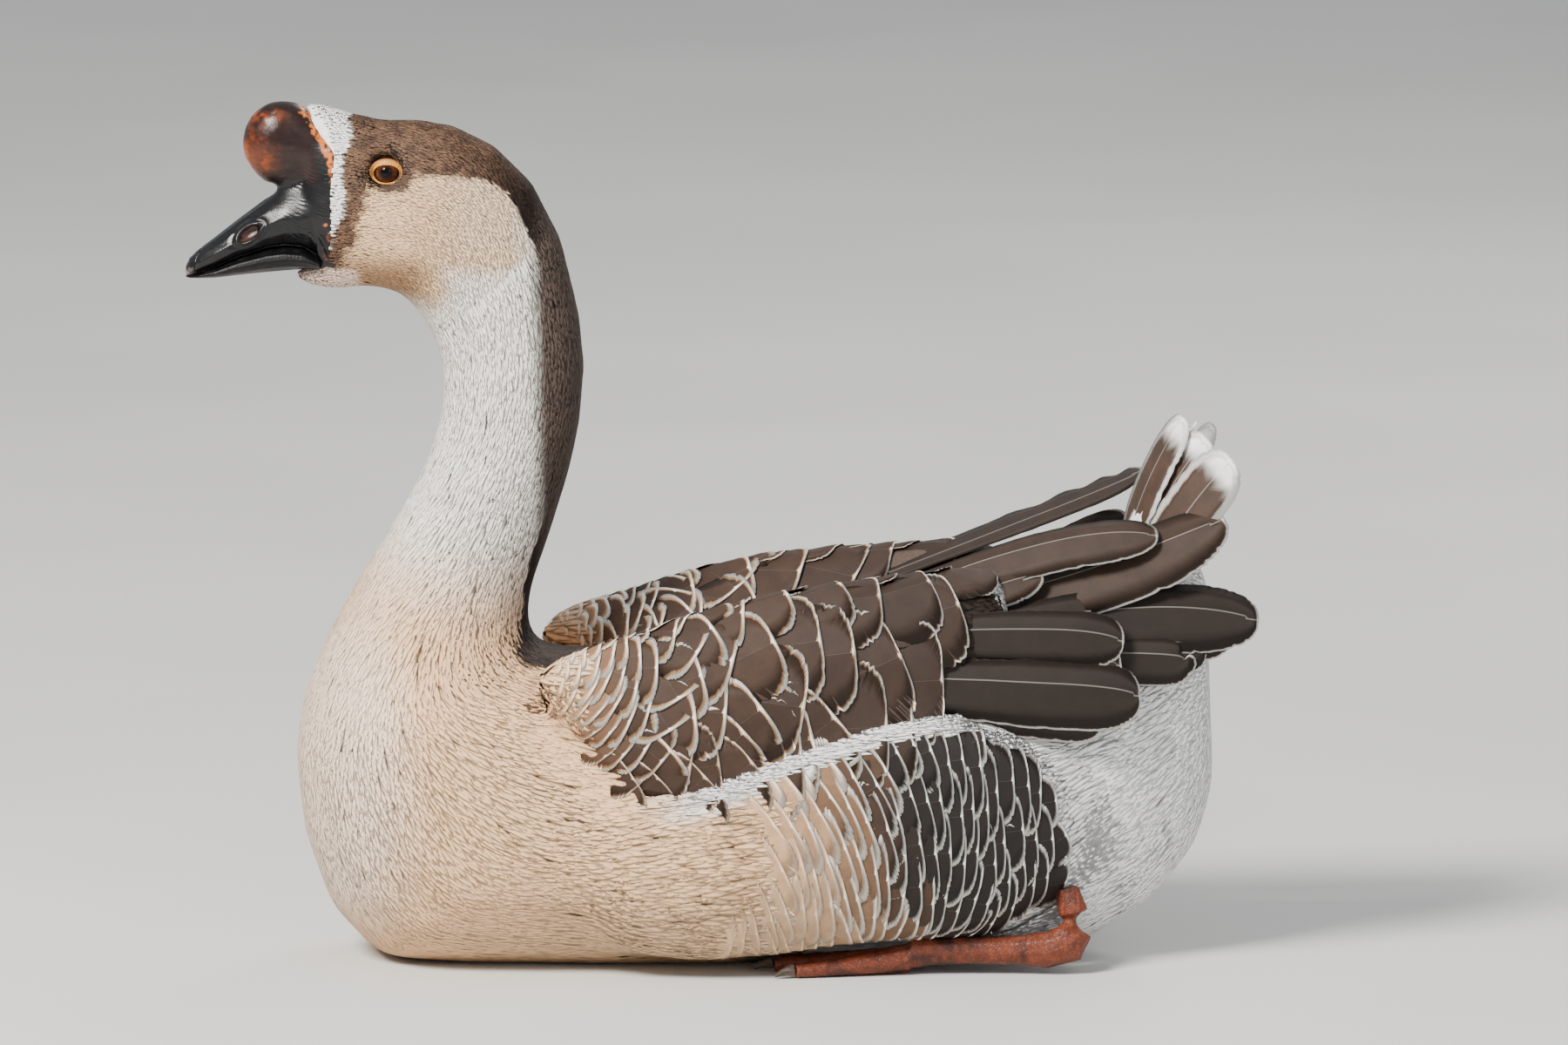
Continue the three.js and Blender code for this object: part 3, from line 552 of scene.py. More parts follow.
# ---------------------------------------------------------------- plumage colours
def plumage(points):
    """The tint of the small feathers at each point, left and right alike."""
    x, y, z = points.T
    side = np.abs(y)
    seen = seen_height(points)
    wobble = 1.6 * noise(points, 7, 1) + 0.8 * noise(points, 2.5, 2)
    down = smooth(262, 178, z + 0.22 * (x + 160))
    tint = mix(NECK_WHITE, BREAST_BUFF, down * (1 - 0.45 * smooth(-205, -245, x - 0.5 * side)))
    # Painted shade: low on the breast and belly the buff turns darker and greyer.
    low = smooth(70, 20, z) * smooth(-200, -60, x)
    tint = mix(tint, SHADED_BELLY_BUFF, low)
    tint = mix(tint, VENT_WHITE, smooth(30, 110, x + 0.25 * (90 - z)))
    # Painted shade in the furrows of the neck's plumage: faint darker lines round the neck.
    furrow_shade = 0.5 + 0.5 * np.sin(side * 0.85 + 1.6 * noise(points * [1, 1, 0.35], 16, 3))
    tint = tint * (1 - 0.05 * furrow_shade * smooth(400, 340, z) * smooth(150, 230, z))[:, None]

    ripple = np.sin(2 * math.pi * (x - 0.1 * seen) / 6.6 + 0.9 * noise(points, 14, 6))
    barred = smooth(-112, -88, x) * smooth(52, 66, side) * smooth(0, 12, under_flank_top(points))
    barred = barred * (0.1 + 0.24 * smooth(-70, 10, x)) * smooth(60, 20, x)
    tint = tint * (1 - barred * smooth(-0.4, 0.8, ripple))[:, None]
    # Painted shade: the coat that lies under the wing's long feathers is darkened to their dark brown.
    shade_under_wing = smooth(56, 62, side) * smooth(150, 158, z) * smooth(60, 80, x)
    tint = mix(tint, FEATHER_DARK, shade_under_wing)

    head = smooth(372, 392, z) * smooth(-150, -168, x)
    cheek = mix(CHEEK_CREAM, NECK_WHITE, smooth(-175, -140, x) * smooth(395, 425, z) * 0.2)
    chin = smooth(-206, -214, x) * smooth(402, 399, z)
    cheek = mix(cheek, CHIN_PINK, chin)
    jaw = smooth(414, 399, z + wobble) * smooth(-158, -185, x) * (1 - chin)
    cheek = mix(cheek, JAW_BUFF, jaw * 0.85)
    tint = mix(tint, cheek, np.maximum(head, smooth(394, 412, z) * smooth(-100, -128, x)))

    mottle = 0.2 + 0.7 * smooth(-0.8, 0.8, noise(points, 3.2, 4) + 0.6 * noise(points, 1.4, 5))
    cap = mix(CAP_DARK, CAP_BROWN, mottle)
    lores = smooth(3, -3, x - table(LORES_EDGE, z) + 2 * wobble) * smooth(398, 403, z)
    tint = mix(tint, cap, lores * (z > 380))
    round_eye = np.hypot(x + 192.5, (z - 458) * 1.1)
    round_eye = smooth(16, 11.5, round_eye) * smooth(15, 22, side)
    tint = mix(tint, mix(CAP_DARK, CAP_BROWN, 0.35 * mottle), round_eye)
    crown = np.where(x < -124, seen - table(CAP_EDGE, x), x - table(NAPE_EDGE, seen))
    soft = 0.7 + 1.8 * smooth(-130, -150, x)
    covered = smooth(-soft, soft, crown + (0.3 + 0.3 * soft) * wobble) * (z > 172)
    covered = covered * np.maximum(smooth(52, 40, side), z > 225) * smooth(215, 190, x)
    nape = smooth(-165, -120, x) * smooth(476, 440, z + 0.3 * (x + 120))
    tint = mix(tint, mix(cap, NAPE_DARK, nape), covered)
    back = smooth(170, 182, z - 0.1 * (x + 100)) * smooth(60, 46, side)
    back = back * smooth(-112, -100, x) * smooth(222, 200, x)
    tint = mix(tint, BACK_BROWN, back)

    edge = (side > 60) * smooth(-45, 5, x)
    under = under_flank_top(points)
    tint = mix(tint, VENT_WHITE, edge * smooth(-3, 0, under) * smooth(22, 10, under))
    band = smooth(1.2, -1.2, x - table(BAND_BACK, seen) + 0.6 * wobble) * (z > 404)
    return mix(tint, BAND_WHITE, band)


SEEN_DROP = 0.158  # how much lower a point is seen for each millimetre that it is nearer


def seen_height(points):
    """The height in the mirror plane at which points on the near side are seen."""
    return points[:, 2] - SEEN_DROP * np.abs(points[:, 1])


def under_flank_top(points):
    """How far points lie under the upper edge of the flank's feathers, in millimetres as seen."""
    return table(FLANK_TOP, points[:, 0]) - seen_height(points)


def behind_face(points):
    """How far points lie behind the edge of the bare face, in millimetres."""
    return points[:, 0] - table(BAND_FRONT, seen_height(points))


def bare_face(points):
    """True in front of the plumage, where the face is bare black skin."""
    return (behind_face(points) < 0.6) & (points[:, 2] > 400)


# ---------------------------------------------------------------- the eyes' places
EYE = {"x": -191.5, "y": 16.8, "z": 457.3, "radius": 8.3}
LID = {"long": 9.3, "high": 7.5, "rim_y": 22.4}  # outer half sizes, and how far out it lies
OPENING = {"long": 7.3, "high": 5.0, "drop": 1.2}


def in_eye(points):
    """True inside the ring of the eyelids."""
    x, y, z = points.T
    out = np.hypot((x - EYE["x"]) / (LID["long"] - 0.3), (z - EYE["z"]) / (LID["high"] - 0.2))
    return (out < 1) & (np.abs(y) > 12)


# ---------------------------------------------------------------- small feathers
TUFT_SHAPES = {  # half width at even places from root to tip
    "hair": [0.55, 1.0, 0.85, 0.5, 0.08],
    "round": [0.6, 1.0, 0.92, 0.25],
    "velvet": [0.8, 1.0, 0.12],
}


def march(roots, ways, length, steps):
    """Points, normals and ways from roots along the outline, each line in even steps."""
    places, normals, _ = outline.nearest(roots)
    lines, ups, along = [places], [normals], []
    way = ways
    for _ in range(steps):
        way = unit(way - (way * normals).sum(-1, keepdims=True) * normals)
        along.append(way)
        ahead = places + way * (length / steps)[:, None]
        places, normals, _ = outline.nearest(ahead)
        lines.append(places)
        ups.append(normals)
    along.append(unit(way - (way * normals).sum(-1, keepdims=True) * normals))
    return np.stack(lines, 1), np.stack(ups, 1), np.stack(along, 1)


TUFT_SPIN = 0.08  # how far the ways of tufts stray from the lie of the plumage
TUFT_RIDGE = 0.008  # how high a blade is along its middle, as a share of its width
# Painted shade: a tuft is darker at its root, which lies under the tufts over it, and a little lighter
# at its tip.
TUFT_SHADE = (0.95, 1.01)  # brightness at the root and at the tip
TUFT_UV = 0.003  # how wide a tuft's patch of the map is
LONG_TUFT = 9  # tufts longer than this have the colour that the plumage has at their tips


def tufts(name, roots, length, width, depth, stand, shape, sink):
    """A coat of small feathers, each a thin closed blade from under the coat to its surface. They
    all lie deeper by the sink."""
    count = len(roots)
    way = lie(roots)
    length = length * RNG.uniform(0.78, 1.2, count)
    width = width * RNG.uniform(0.8, 1.2, count)
    profile = np.array(TUFT_SHAPES[shape])
    steps = len(profile) - 1
    _, normal, _ = outline.nearest(roots)
    aside = np.cross(normal, way)
    way = unit(way + aside * RNG.normal(0, TUFT_SPIN, count)[:, None])
    lines, ups, along = march(roots, way, length, steps)
    places = np.linspace(0, 1, steps + 1)
    stand = (stand * RNG.uniform(0.2, 1.6, count))[:, None]
    rise = -depth * (1 - places)[None] ** 1.5 + stand * places**2
    lines = lines + ups * (rise - np.reshape(sink, (-1, 1)))[..., None]
    side = np.cross(ups, along) * (profile[None] * width[:, None] / 2)[..., None]
    ridge = ups * (TUFT_RIDGE * profile[None] * width[:, None])[..., None]
    ring = np.stack([lines - side, lines + ridge, lines + side], axis=2)
    points = ring.reshape(-1, 3)
    points[:, 2] = np.maximum(points[:, 2], FLOOR_GAP)
    rings = steps + 1
    first = (np.arange(count) * rings * 3)[:, None, None]
    base = first + (np.arange(steps) * 3)[None, :, None]
    quads = [base + np.array([a, b, b + 3, a + 3]) for a, b in ((0, 1), (1, 2), (2, 0))]
    quads = np.concatenate(quads, axis=1).reshape(-1, 4)
    start = first[:, 0, 0]
    caps = np.concatenate([
        np.stack([start, start + 2, start + 1], 1),
        np.stack([start, start + 1, start + 2], 1) + steps * 3,
    ])
    marked = lines[:, -1] if length.mean() > LONG_TUFT else roots
    tint = plumage(marked) * RNG.uniform(0.95, 1.03, count)[:, None]
    # Painted shade along each tuft, darkest at the root under the tufts over it.
    painted_shade = TUFT_SHADE[0] + (TUFT_SHADE[1] - TUFT_SHADE[0]) * places
    colour = (tint[:, None, None] * painted_shade[None, :, None, None]) * np.ones((1, 1, 3, 1))
    shape = (count, rings, 3)
    wide = width[:, None] * profile
    values = {
        "across": np.broadcast_to(np.array([-0.5, 0, 0.5]) * wide[..., None], shape),
        "along": np.broadcast_to((length[:, None] * places)[..., None], shape),
        "kind": np.broadcast_to(RNG.uniform(0, 400, count)[:, None, None], shape),
        "up": np.broadcast_to(ups[:, :, None], shape + (3,)),
    }
    values = {key: value.reshape(len(points), -1) for key, value in values.items()}
    patch = np.stack(np.meshgrid(places - 0.5, [-0.45, 0, 0.45], indexing="ij"), -1) * TUFT_UV
    uv = unwrap(roots)[:, None, None] + patch[None]
    make_piece(name, points, [quads, caps], SOFT, colour=colour.reshape(-1, 3),
               values=values, uv=uv.reshape(-1, 2))


# ---------------------------------------------------------------- large feathers
def by_feather(values):
    """One value for each feather, shaped to go with the points of its vanes."""
    return values[:, None, None, None]


def vane_plan(barbs, root_share, full_from, tip_from, slant, bluntness):
    """The flat plan of one feather: for each barb, how far along it ends, how far out, and where it
    leaves the shaft. Lengths are shares of the feather's length and half width."""
    straight = np.linspace(0, 1, barbs + 1)
    turn = 0.45  # share of the barbs that end on the straight part
    round_tip = (straight - turn) / (1 - turn) * math.pi / 2
    along = np.where(straight < turn, tip_from * straight / turn,
                     tip_from + (1 - tip_from) * np.sin(round_tip))
    opening = np.minimum(1, along / full_from)
    half = root_share + (1 - root_share) * opening
    half = np.where(straight < turn, half, np.clip(np.cos(round_tip), 0, 1) ** bluntness)
    leaves = np.clip(along - slant * half, 0, 0.94)
    leaves = np.maximum.accumulate(leaves)
    return along, half, leaves


LEVELS = (0.0, 0.08, 0.55, 1.0)  # places along a barb that have vertices


def vane_grid(plan, length, width, ragged, shaft=0.0, bare_sides=0.0, bare_to=0.72):
    """Flat places of the vanes of several feathers: along and across, in millimetres, and the
    distance from the fringe. Shape: feather, side, barb, level."""
    along, half, leaves = plan
    count = len(length)
    barbs = len(along)
    cut = RNG.uniform(0, 1, (count, 2, barbs)) ** 2 * ragged
    cut = cut * np.where(np.arange(barbs) % 2, 1.0, 0.25)
    level = np.array(LEVELS)[None, None, None] * (1 - cut[..., None])
    side = np.array([-1, 1])[None, :, None, None]
    vane = 1 + side * shaft  # the wider vane is on the side that the shaft leaves free
    a = leaves[None, None, :, None] + (along - leaves)[None, None, :, None] * level
    c = side * half[None, None, :, None] * level * vane
    a = a * by_feather(length)
    c = c * by_feather(width / 2)
    reach_a = (along - leaves)[None, None] * length[:, None, None]
    reach_c = half[None, None] * (width / 2)[:, None, None] * vane[..., 0]
    barb = np.hypot(reach_a, reach_c)
    rim = (1 - np.array(LEVELS))[None, None, None] * barb[..., None] * 0.85
    rim = rim + bare_sides * smooth(bare_to, bare_to - 0.2, along)[None, None, :, None]
    return a, c, rim


def vane_faces(count, barbs):
    """Faces of closed vanes: an upper and a lower sheet that share their outer edge."""
    levels = len(LEVELS)
    per = 2 * barbs * levels
    first = np.arange(count) * per * 2

    def at(side, barb, level, under):
        shared = np.asarray(level) == levels - 1
        return side * barbs * levels + barb * levels + level + np.where(shared, 0, per * under)

    barb, level = np.meshgrid(np.arange(barbs - 1), np.arange(levels - 1), indexing="ij")
    barb, level = barb.ravel(), level.ravel()
    faces = []
    for side in (0, 1):
        for under in (0, 1):
            quad = [at(side, barb, level, under), at(side, barb, level + 1, under),
                    at(side, barb + 1, level + 1, under), at(side, barb + 1, level, under)]
            quad = np.stack(quad if (side + under) % 2 == 0 else quad[::-1], axis=1)
            faces.append(quad)
    faces = np.concatenate(faces)
    return (first[:, None, None] + faces[None]).reshape(-1, 4)


def finish_vanes(name, top, normal, thick, a, c, rim, length, tints, fringe, shaft_wide,
                 stands_for=(), flipped=False, tip=None):
    """Makes the piece of several feathers from the upper points of their vanes. The tints are for
    the middle, border and fringe, and tip is a tint for the end and the share where it starts."""
    count, _, barbs, levels = a.shape
    lower = top - normal * thick
    points = np.stack([top, lower], axis=1).reshape(-1, 3)
    points[:, 2] = np.maximum(points[:, 2], FLOOR_GAP)
    faces = vane_faces(count, barbs)
    if flipped:
        faces = faces[:, ::-1]
    shape = (count, 2, 2, barbs, levels)
    middle, border, edge = (np.broadcast_to(t[:, None, None, None, None], shape + (3,)) for t in tints)
    if tip is not None:
        tint, start, end = tip
        share = smooth(start, end, a / by_feather(length))
        middle = mix(middle, tint, np.broadcast_to(share[:, None], shape))
    feather = np.arange(count)[:, None, None, None, None]
    values = {
        "rim": (rim / by_feather(fringe))[:, None],
        "barb": np.arange(barbs)[None, None, None, :, None] + feather * 7.3,
        "kind": feather * 1.7,
        "shaft": np.abs(c)[:, None] / shaft_wide,
    }
    cell_u, cell_v, size = atlas(count)
    u = by_feather(cell_u) + size * (c / (np.abs(c).max() * 2.1))
    v = by_feather(cell_v) + size * (a / by_feather(length) - 0.5) * 0.95
    uv = np.broadcast_to(np.stack([u, v], -1)[:, None], shape + (2,))
    used = np.unique(faces)
    renumber = np.full(len(points), -1)
    renumber[used] = np.arange(len(used))
    values = {key: np.broadcast_to(value, shape).reshape(-1)[used] for key, value in values.items()}
    piece = make_piece(name, points[used], [renumber[faces]], VANE, stands_for,
                       colour=middle.reshape(-1, 3)[used], values=values, uv=uv.reshape(-1, 2)[used])
    paint(piece.data, "border_tint", border.reshape(-1, 3)[used])
    paint(piece.data, "fringe_tint", edge.reshape(-1, 3)[used])


def atlas(count):
    """Cells of a square map, one for each feather in turn: their middles and used width."""
    columns = math.ceil(math.sqrt(count))
    cell = 0.98 / columns
    number = np.arange(count)
    places = [0.01 + cell * (steps + 0.5) for steps in (number % columns, number // columns)]
    return *places, cell * 0.9


DRAPE_STEPS = 6  # stretches along the shaft of a feather that lies on the body
DRAPE_RISE = 0.35  # how high its tip lies over the outline
DRAPE_RAGGED = 0.07  # how much of a barb the fringe may lack
DRAPE_SHAFT = 0.04  # half width of its shaft


def draped_feathers(name, roots, ways, length, width, tints, fringe, depth, roll, barbs, plan,
                    bare_sides, bare_to=0.72, thick=0.14):
    """Broad feathers that lie on the body like tiles, each dipping under the ones before it."""
    lines, ups, along = march(roots, ways, length, DRAPE_STEPS)
    a, c, rim = vane_grid(vane_plan(barbs, *plan), length, width, DRAPE_RAGGED,
                          bare_sides=bare_sides, bare_to=bare_to)
    share = a / by_feather(length)
    place = share * DRAPE_STEPS
    low = np.clip(np.floor(place).astype(int), 0, DRAPE_STEPS - 1)
    part = (place - low)[..., None]
    feather = by_feather(np.arange(len(roots)))
    centre = lines[feather, low] * (1 - part) + lines[feather, low + 1] * part
    aside = np.cross(ups, along)
    side = unit(aside[feather, low] * (1 - part) + aside[feather, low + 1] * part)
    flat = centre + side * c[..., None]
    found, normal, _ = outline.nearest(flat)
    found, normal = found.reshape(flat.shape), normal.reshape(flat.shape)
    height = DRAPE_RISE - by_feather(depth) * (1 - share) + by_feather(roll) * c
    height = height + 0.06 * (np.abs(c) < 1e-6)
    top = found + normal * height[..., None]
    finish_vanes(name, top, normal, thick, a, c, rim, length, tints, fringe, DRAPE_SHAFT)


# ---------------------------------------------------------------- stage
def make_camera():
    """The photograph's view: from far off on the left, and a little from above."""
    data = bpy.data.cameras.new("view")
    data.lens = LENS
    data.sensor_width = SENSOR
    camera = bpy.data.objects.new("view", data)
    bpy.context.scene.collection.objects.link(camera)
    target = Vector(VIEW_TARGET) * MM
    tilt = math.radians(VIEW_ELEVATION)
    away = Vector((0, -math.cos(tilt), math.sin(tilt)))
    camera.location = target + away * VIEW_DISTANCE * MM
    camera.rotation_euler = (-away).to_track_quat("-Z", "Y").to_euler()
    data.clip_end = 100
    bpy.context.scene.camera = camera


LIGHTS = {  # place and target in metres, size, watts and colour
    "key": ((-1.7, -2.2, 2.7), (0, 0, 0.2), 1.3, 310, (1.0, 0.96, 0.90)),
    "fill": ((1.8, -2.4, 1.2), (0, 0, 0.2), 2.2, 22, (0.9, 0.95, 1.0)),
    "rim": ((1.2, 2.4, 2.2), (0, 0, 0.3), 1.5, 40, (1.0, 0.97, 0.92)),
}
SKY = {"colour": (0.92, 0.96, 1.0, 1), "strength": 0.55}
FLOOR_HALF = 30.0  # metres
FLOOR_GREYS = ((0.62, 0.62, 0.60), (0.66, 0.66, 0.64))


def make_light(name, place, target, size, watts, colour):
    """A round lamp at a place, in metres, that faces its target."""
    data = bpy.data.lights.new(name, "AREA")
    data.shape = "DISK"
    data.size = size
    data.energy = watts
    data.color = colour
    light = bpy.data.objects.new(name, data)
    bpy.context.scene.collection.objects.link(light)
    light.location = place
    light.rotation_euler = (Vector(target) - Vector(place)).to_track_quat("-Z", "Y").to_euler()


def make_stage():
    """The pale floor, the sky's even light and the three lamps."""
    mesh = bpy.data.meshes.new("floor")
    corners = [(x * FLOOR_HALF, y * FLOOR_HALF, 0) for x, y in ((-1, -1), (1, -1), (1, 1), (-1, 1))]
    mesh.from_pydata(corners, [], [(0, 1, 2, 3)])
    floor = bpy.data.objects.new("floor", mesh)
    bpy.context.scene.collection.objects.link(floor)
    f = Finish("pale_floor", 0.9, 0.2)
    mesh.materials.append(f.done(f.blend(f.uneven(f.noise(2.0, 2)), *FLOOR_GREYS)))
    world = bpy.data.worlds.new("studio")
    world.use_nodes = True
    background = world.node_tree.nodes["Background"]
    background.inputs["Color"].default_value = SKY["colour"]
    background.inputs["Strength"].default_value = SKY["strength"]
    bpy.context.scene.world = world
    for name, settings in LIGHTS.items():
        make_light(name, *settings)


make_camera()
make_stage()

# ---------------------------------------------------------------- the skin
SKIN_ROUNDS = 40
CHIN = {"middle": (-225, 0, 393.5), "half": (21, 10, 7), "tilt": -0.12}


def make_chin():
    """The soft lump between the halves of the lower jaw."""
    shape = bmesh.new()
    bmesh.ops.create_icosphere(shape, subdivisions=3, radius=1)
    bmesh.ops.triangulate(shape, faces=shape.faces)
    points = np.array([v.co for v in shape.verts]) * CHIN["half"]
    faces = np.array([[v.index for v in f.verts] for f in shape.faces])
    shape.free()
    cos, sin = math.cos(CHIN["tilt"]), math.sin(CHIN["tilt"])
    turned = np.stack([points[:, 0] * cos - points[:, 2] * sin, points[:, 1],
                       points[:, 0] * sin + points[:, 2] * cos], 1)
    return turned + CHIN["middle"], faces


raw_points, raw_faces, owners = nodes_arrays(FLESH)
flesh = Surface(raw_points, raw_faces)
swollen, _, _ = nodes_arrays(FLESH, OVERLAP)
chin_points, chin_faces = make_chin()
closed_points = np.concatenate([swollen, chin_points])
closed_faces = np.concatenate([raw_faces, chin_faces + len(raw_points)])
skin_points, skin_normals, skin_faces = remeshed(closed_points, closed_faces, SKIN_VOXEL)
# The head keeps its form, and the rest is evened out. What the first rounds lose in size is
# evened out too and added back, so nothing shrinks.
evenness = 0.15 + 0.75 * smooth(392, 350, skin_points[:, 2] - 0.3 * (skin_points[:, 0] + 170))
skin_points = skin_points - skin_normals * OVERLAP
even_points = relaxed(skin_points, skin_faces, evenness, SKIN_ROUNDS)
lost = relaxed(skin_points - even_points, skin_faces, evenness, SKIN_ROUNDS)
outline = Surface(even_points + lost, skin_faces)


def owner_of(points):
    """The number in FLESH of the node that each point lies on."""
    _, _, face = flesh.nearest(points)
    return owners[face]


def coat_depth(points):
    """How deep the coat is over the skin, in millimetres."""
    x, y, z = points.T
    along, _, _ = body_place(points)
    bare = smooth(0, -5, behind_face(points)) * smooth(402, 406, z)
    tiled = smooth(-118, -94, x) * smooth(204, 188, x) * smooth(42, 58, np.abs(y))
    return 0.8 + 3.2 * bare + 0.7 * smooth(0.16, 0.3, along) + 2.0 * tiled


inner = outline.points - outline.normals * coat_depth(outline.points)[:, None]
# The skin takes the plumage's colours, darkened by a tenth as painted shade under the coat.
make_piece("skin", inner, [outline.faces], skin_finish(), FLESH,
           colour=plumage(outline.points) * 0.9)

# ---------------------------------------------------------------- the coat of small feathers
SOFT = coat_finish()
COATS = {  # nodes covered, spacing, length, width, depth of the roots, stand of the tips, sink, shape
    "coat_head": (("head",), 1.3, 6.5, 2.1, 0.09, 0.03, 0, "velvet"),
    "coat_neck_upper": (("neck_upper", "neck_middle"), 1.9, 12, 2.4, 0.07, 0.02, 0, "round"),
    "coat_neck_lower": (("neck_lower",), 2.1, 14, 2.8, 0.07, 0.02, 0, "round"),
    "coat_breast": (("breast",), 2.45, 17, 3.3, 0.065, 0.015, 0, "round"),
    "coat_trunk": (("trunk",), 3.1, 18, 4.0, 0.07, 0.015, 0, "round"),
    "coat_vent": (("abdomen",), 2.9, 22, 4.0, 0.09, 0.03, 0, "round"),
    "coat_shoulders": (
        ("wing_coverts_left", "wing_coverts_right"), 3.3, 16, 4.6, 0.11, 0.03, 2.6, "round"),
    "coat_flanks": (("flank_left", "flank_right"), 2.9, 16, 4.0, 0.09, 0.02, 2.0, "round"),
}
# Between these x the small feathers sink and broad ones come to lie on top.
UNCOVERED = {"coat_shoulders": (-92, -76), "coat_flanks": (14, 62)}


def make_coats():
    """Small feathers over all the flesh but the bare face and the eyes."""
    for name, (nodes, spacing, length, width, depth, stand, sink, shape) in COATS.items():
        numbers = [FLESH.index(node) for node in nodes]

        def allowed(p):
            return np.isin(owner_of(p), numbers) & ~bare_face(p) & ~in_eye(p)

        roots = outline.scatter(spacing, allowed)
        length = length * (1 - 0.5 * smooth(-190, -225, roots[:, 0]) * (roots[:, 2] > 380))
        x = roots[:, 0] + 10 * noise(roots, 9, 7)
        covered = smooth(*UNCOVERED.get(name, (0, 1)), x) * smooth(198, 187, x)
        tufts(name, roots, length, width, depth, stand, shape, sink * covered)


EDGE_WIDE = 8


def make_flank_edge(name, side):
    """White feathers that roll over the upper edge of the flank, on top of the wing's."""

    def allowed(p):
        under = under_flank_top(p)
        inside = (under > -1) & (under < EDGE_WIDE) & (p[:, 0] > -60) & (p[:, 0] < 206)
        return inside & (p[:, 1] * side > 55)

    roots = outline.scatter(1.9, allowed)
    under = under_flank_top(roots)
    rise = 0.6 * smooth(EDGE_WIDE, 3, under) * smooth(-60, -40, roots[:, 0])
    tufts(name, roots, 15, 3.0, 0.3, 0.05, "hair", -rise)


# ---------------------------------------------------------------- feathers that lie like tiles
class Shield:
    """A feathered side of the body, with a place for each x and height share from its lower edge."""

    columns = 24
    rays = 25

    def __init__(self, node, side, first, last, low, high):
        points, faces, _ = nodes_arrays([node])
        tree = BVHTree.FromPolygons(points.tolist(), faces.tolist())
        self.first, self.last = first, last
        grid = []
        for x in np.linspace(first, last, self.columns):
            weight = np.exp(-((points[:, 0] - x) / 14) ** 2)
            middle = (points * weight[:, None]).sum(0) / weight.sum()
            row = []
            centre = Vector((x, middle[1], middle[2]))
            for angle in np.radians(np.linspace(low, high, self.rays)):
                way = Vector((0, side * math.cos(angle), math.sin(angle)))
                hit = tree.ray_cast(centre + way * 300, -way)[0]
                hit = hit or tree.find_nearest(centre + way * 20)[0]
                row.append(hit[:])
            row = np.array(row)
            reach = np.concatenate([[0], np.cumsum(np.linalg.norm(np.diff(row, axis=0), axis=1))])
            even = np.linspace(0, reach[-1], self.rays)
            grid.append(np.stack([np.interp(even, reach, row[:, i]) for i in range(3)], 1))
        self.grid = np.array(grid)

    def place(self, x, share):
        """Points on the shield."""
        u = np.clip((x - self.first) / (self.last - self.first), 0, 1) * (self.columns - 1)
        v = np.clip(share, 0, 1) * (self.rays - 1)
        i, j = np.minimum(u.astype(int), self.columns - 2), np.minimum(v.astype(int), self.rays - 2)
        p, q = (u - i)[:, None], (v - j)[:, None]
        g = self.grid
        return (g[i, j] * (1 - p) * (1 - q) + g[i + 1, j] * p * (1 - q)
                + g[i, j + 1] * (1 - p) * q + g[i + 1, j + 1] * p * q)

    def tiles(self, x, share, turn, length):
        """Roots and ways of feathers whose tips are given and which point down by a turn."""
        tall = np.array([self.height(value) for value in x])
        inside = np.clip(x, self.first + 6, self.last - 2)
        ends = self.place(x, share)
        ways = unit(self.place(inside, share)
                    - self.place(inside - 6 * np.cos(turn), share + 6 * np.sin(turn) / tall))
        return ends - ways * length[:, None], ways

    def height(self, x):
        """The length of the section at x, over the shield from its lower to its upper edge."""
        row = self.place(np.full(self.rays, x), np.linspace(0, 1, self.rays))
        return np.linalg.norm(np.diff(row, axis=0), axis=1).sum()


# Each column of wing coverts: x of the tips half way up, and how many feathers it has.
COVERT_COLUMNS = [
    (-104, 9), (-96, 9), (-88, 9), (-80, 9), (-72, 9), (-64, 9), (-55, 9), (-46, 9), (-36, 9),
    (-25, 8), (-11, 8), (6, 7), (28, 6), (53, 5), (80, 5), (108, 4), (134, 4),
]
COVERT_AREA = (-104, 160, -75, 150)  # first and last x, and lowest and highest angle in degrees
WING_LEAN = 30  # how much further back a column's upper tips are than its lower ones


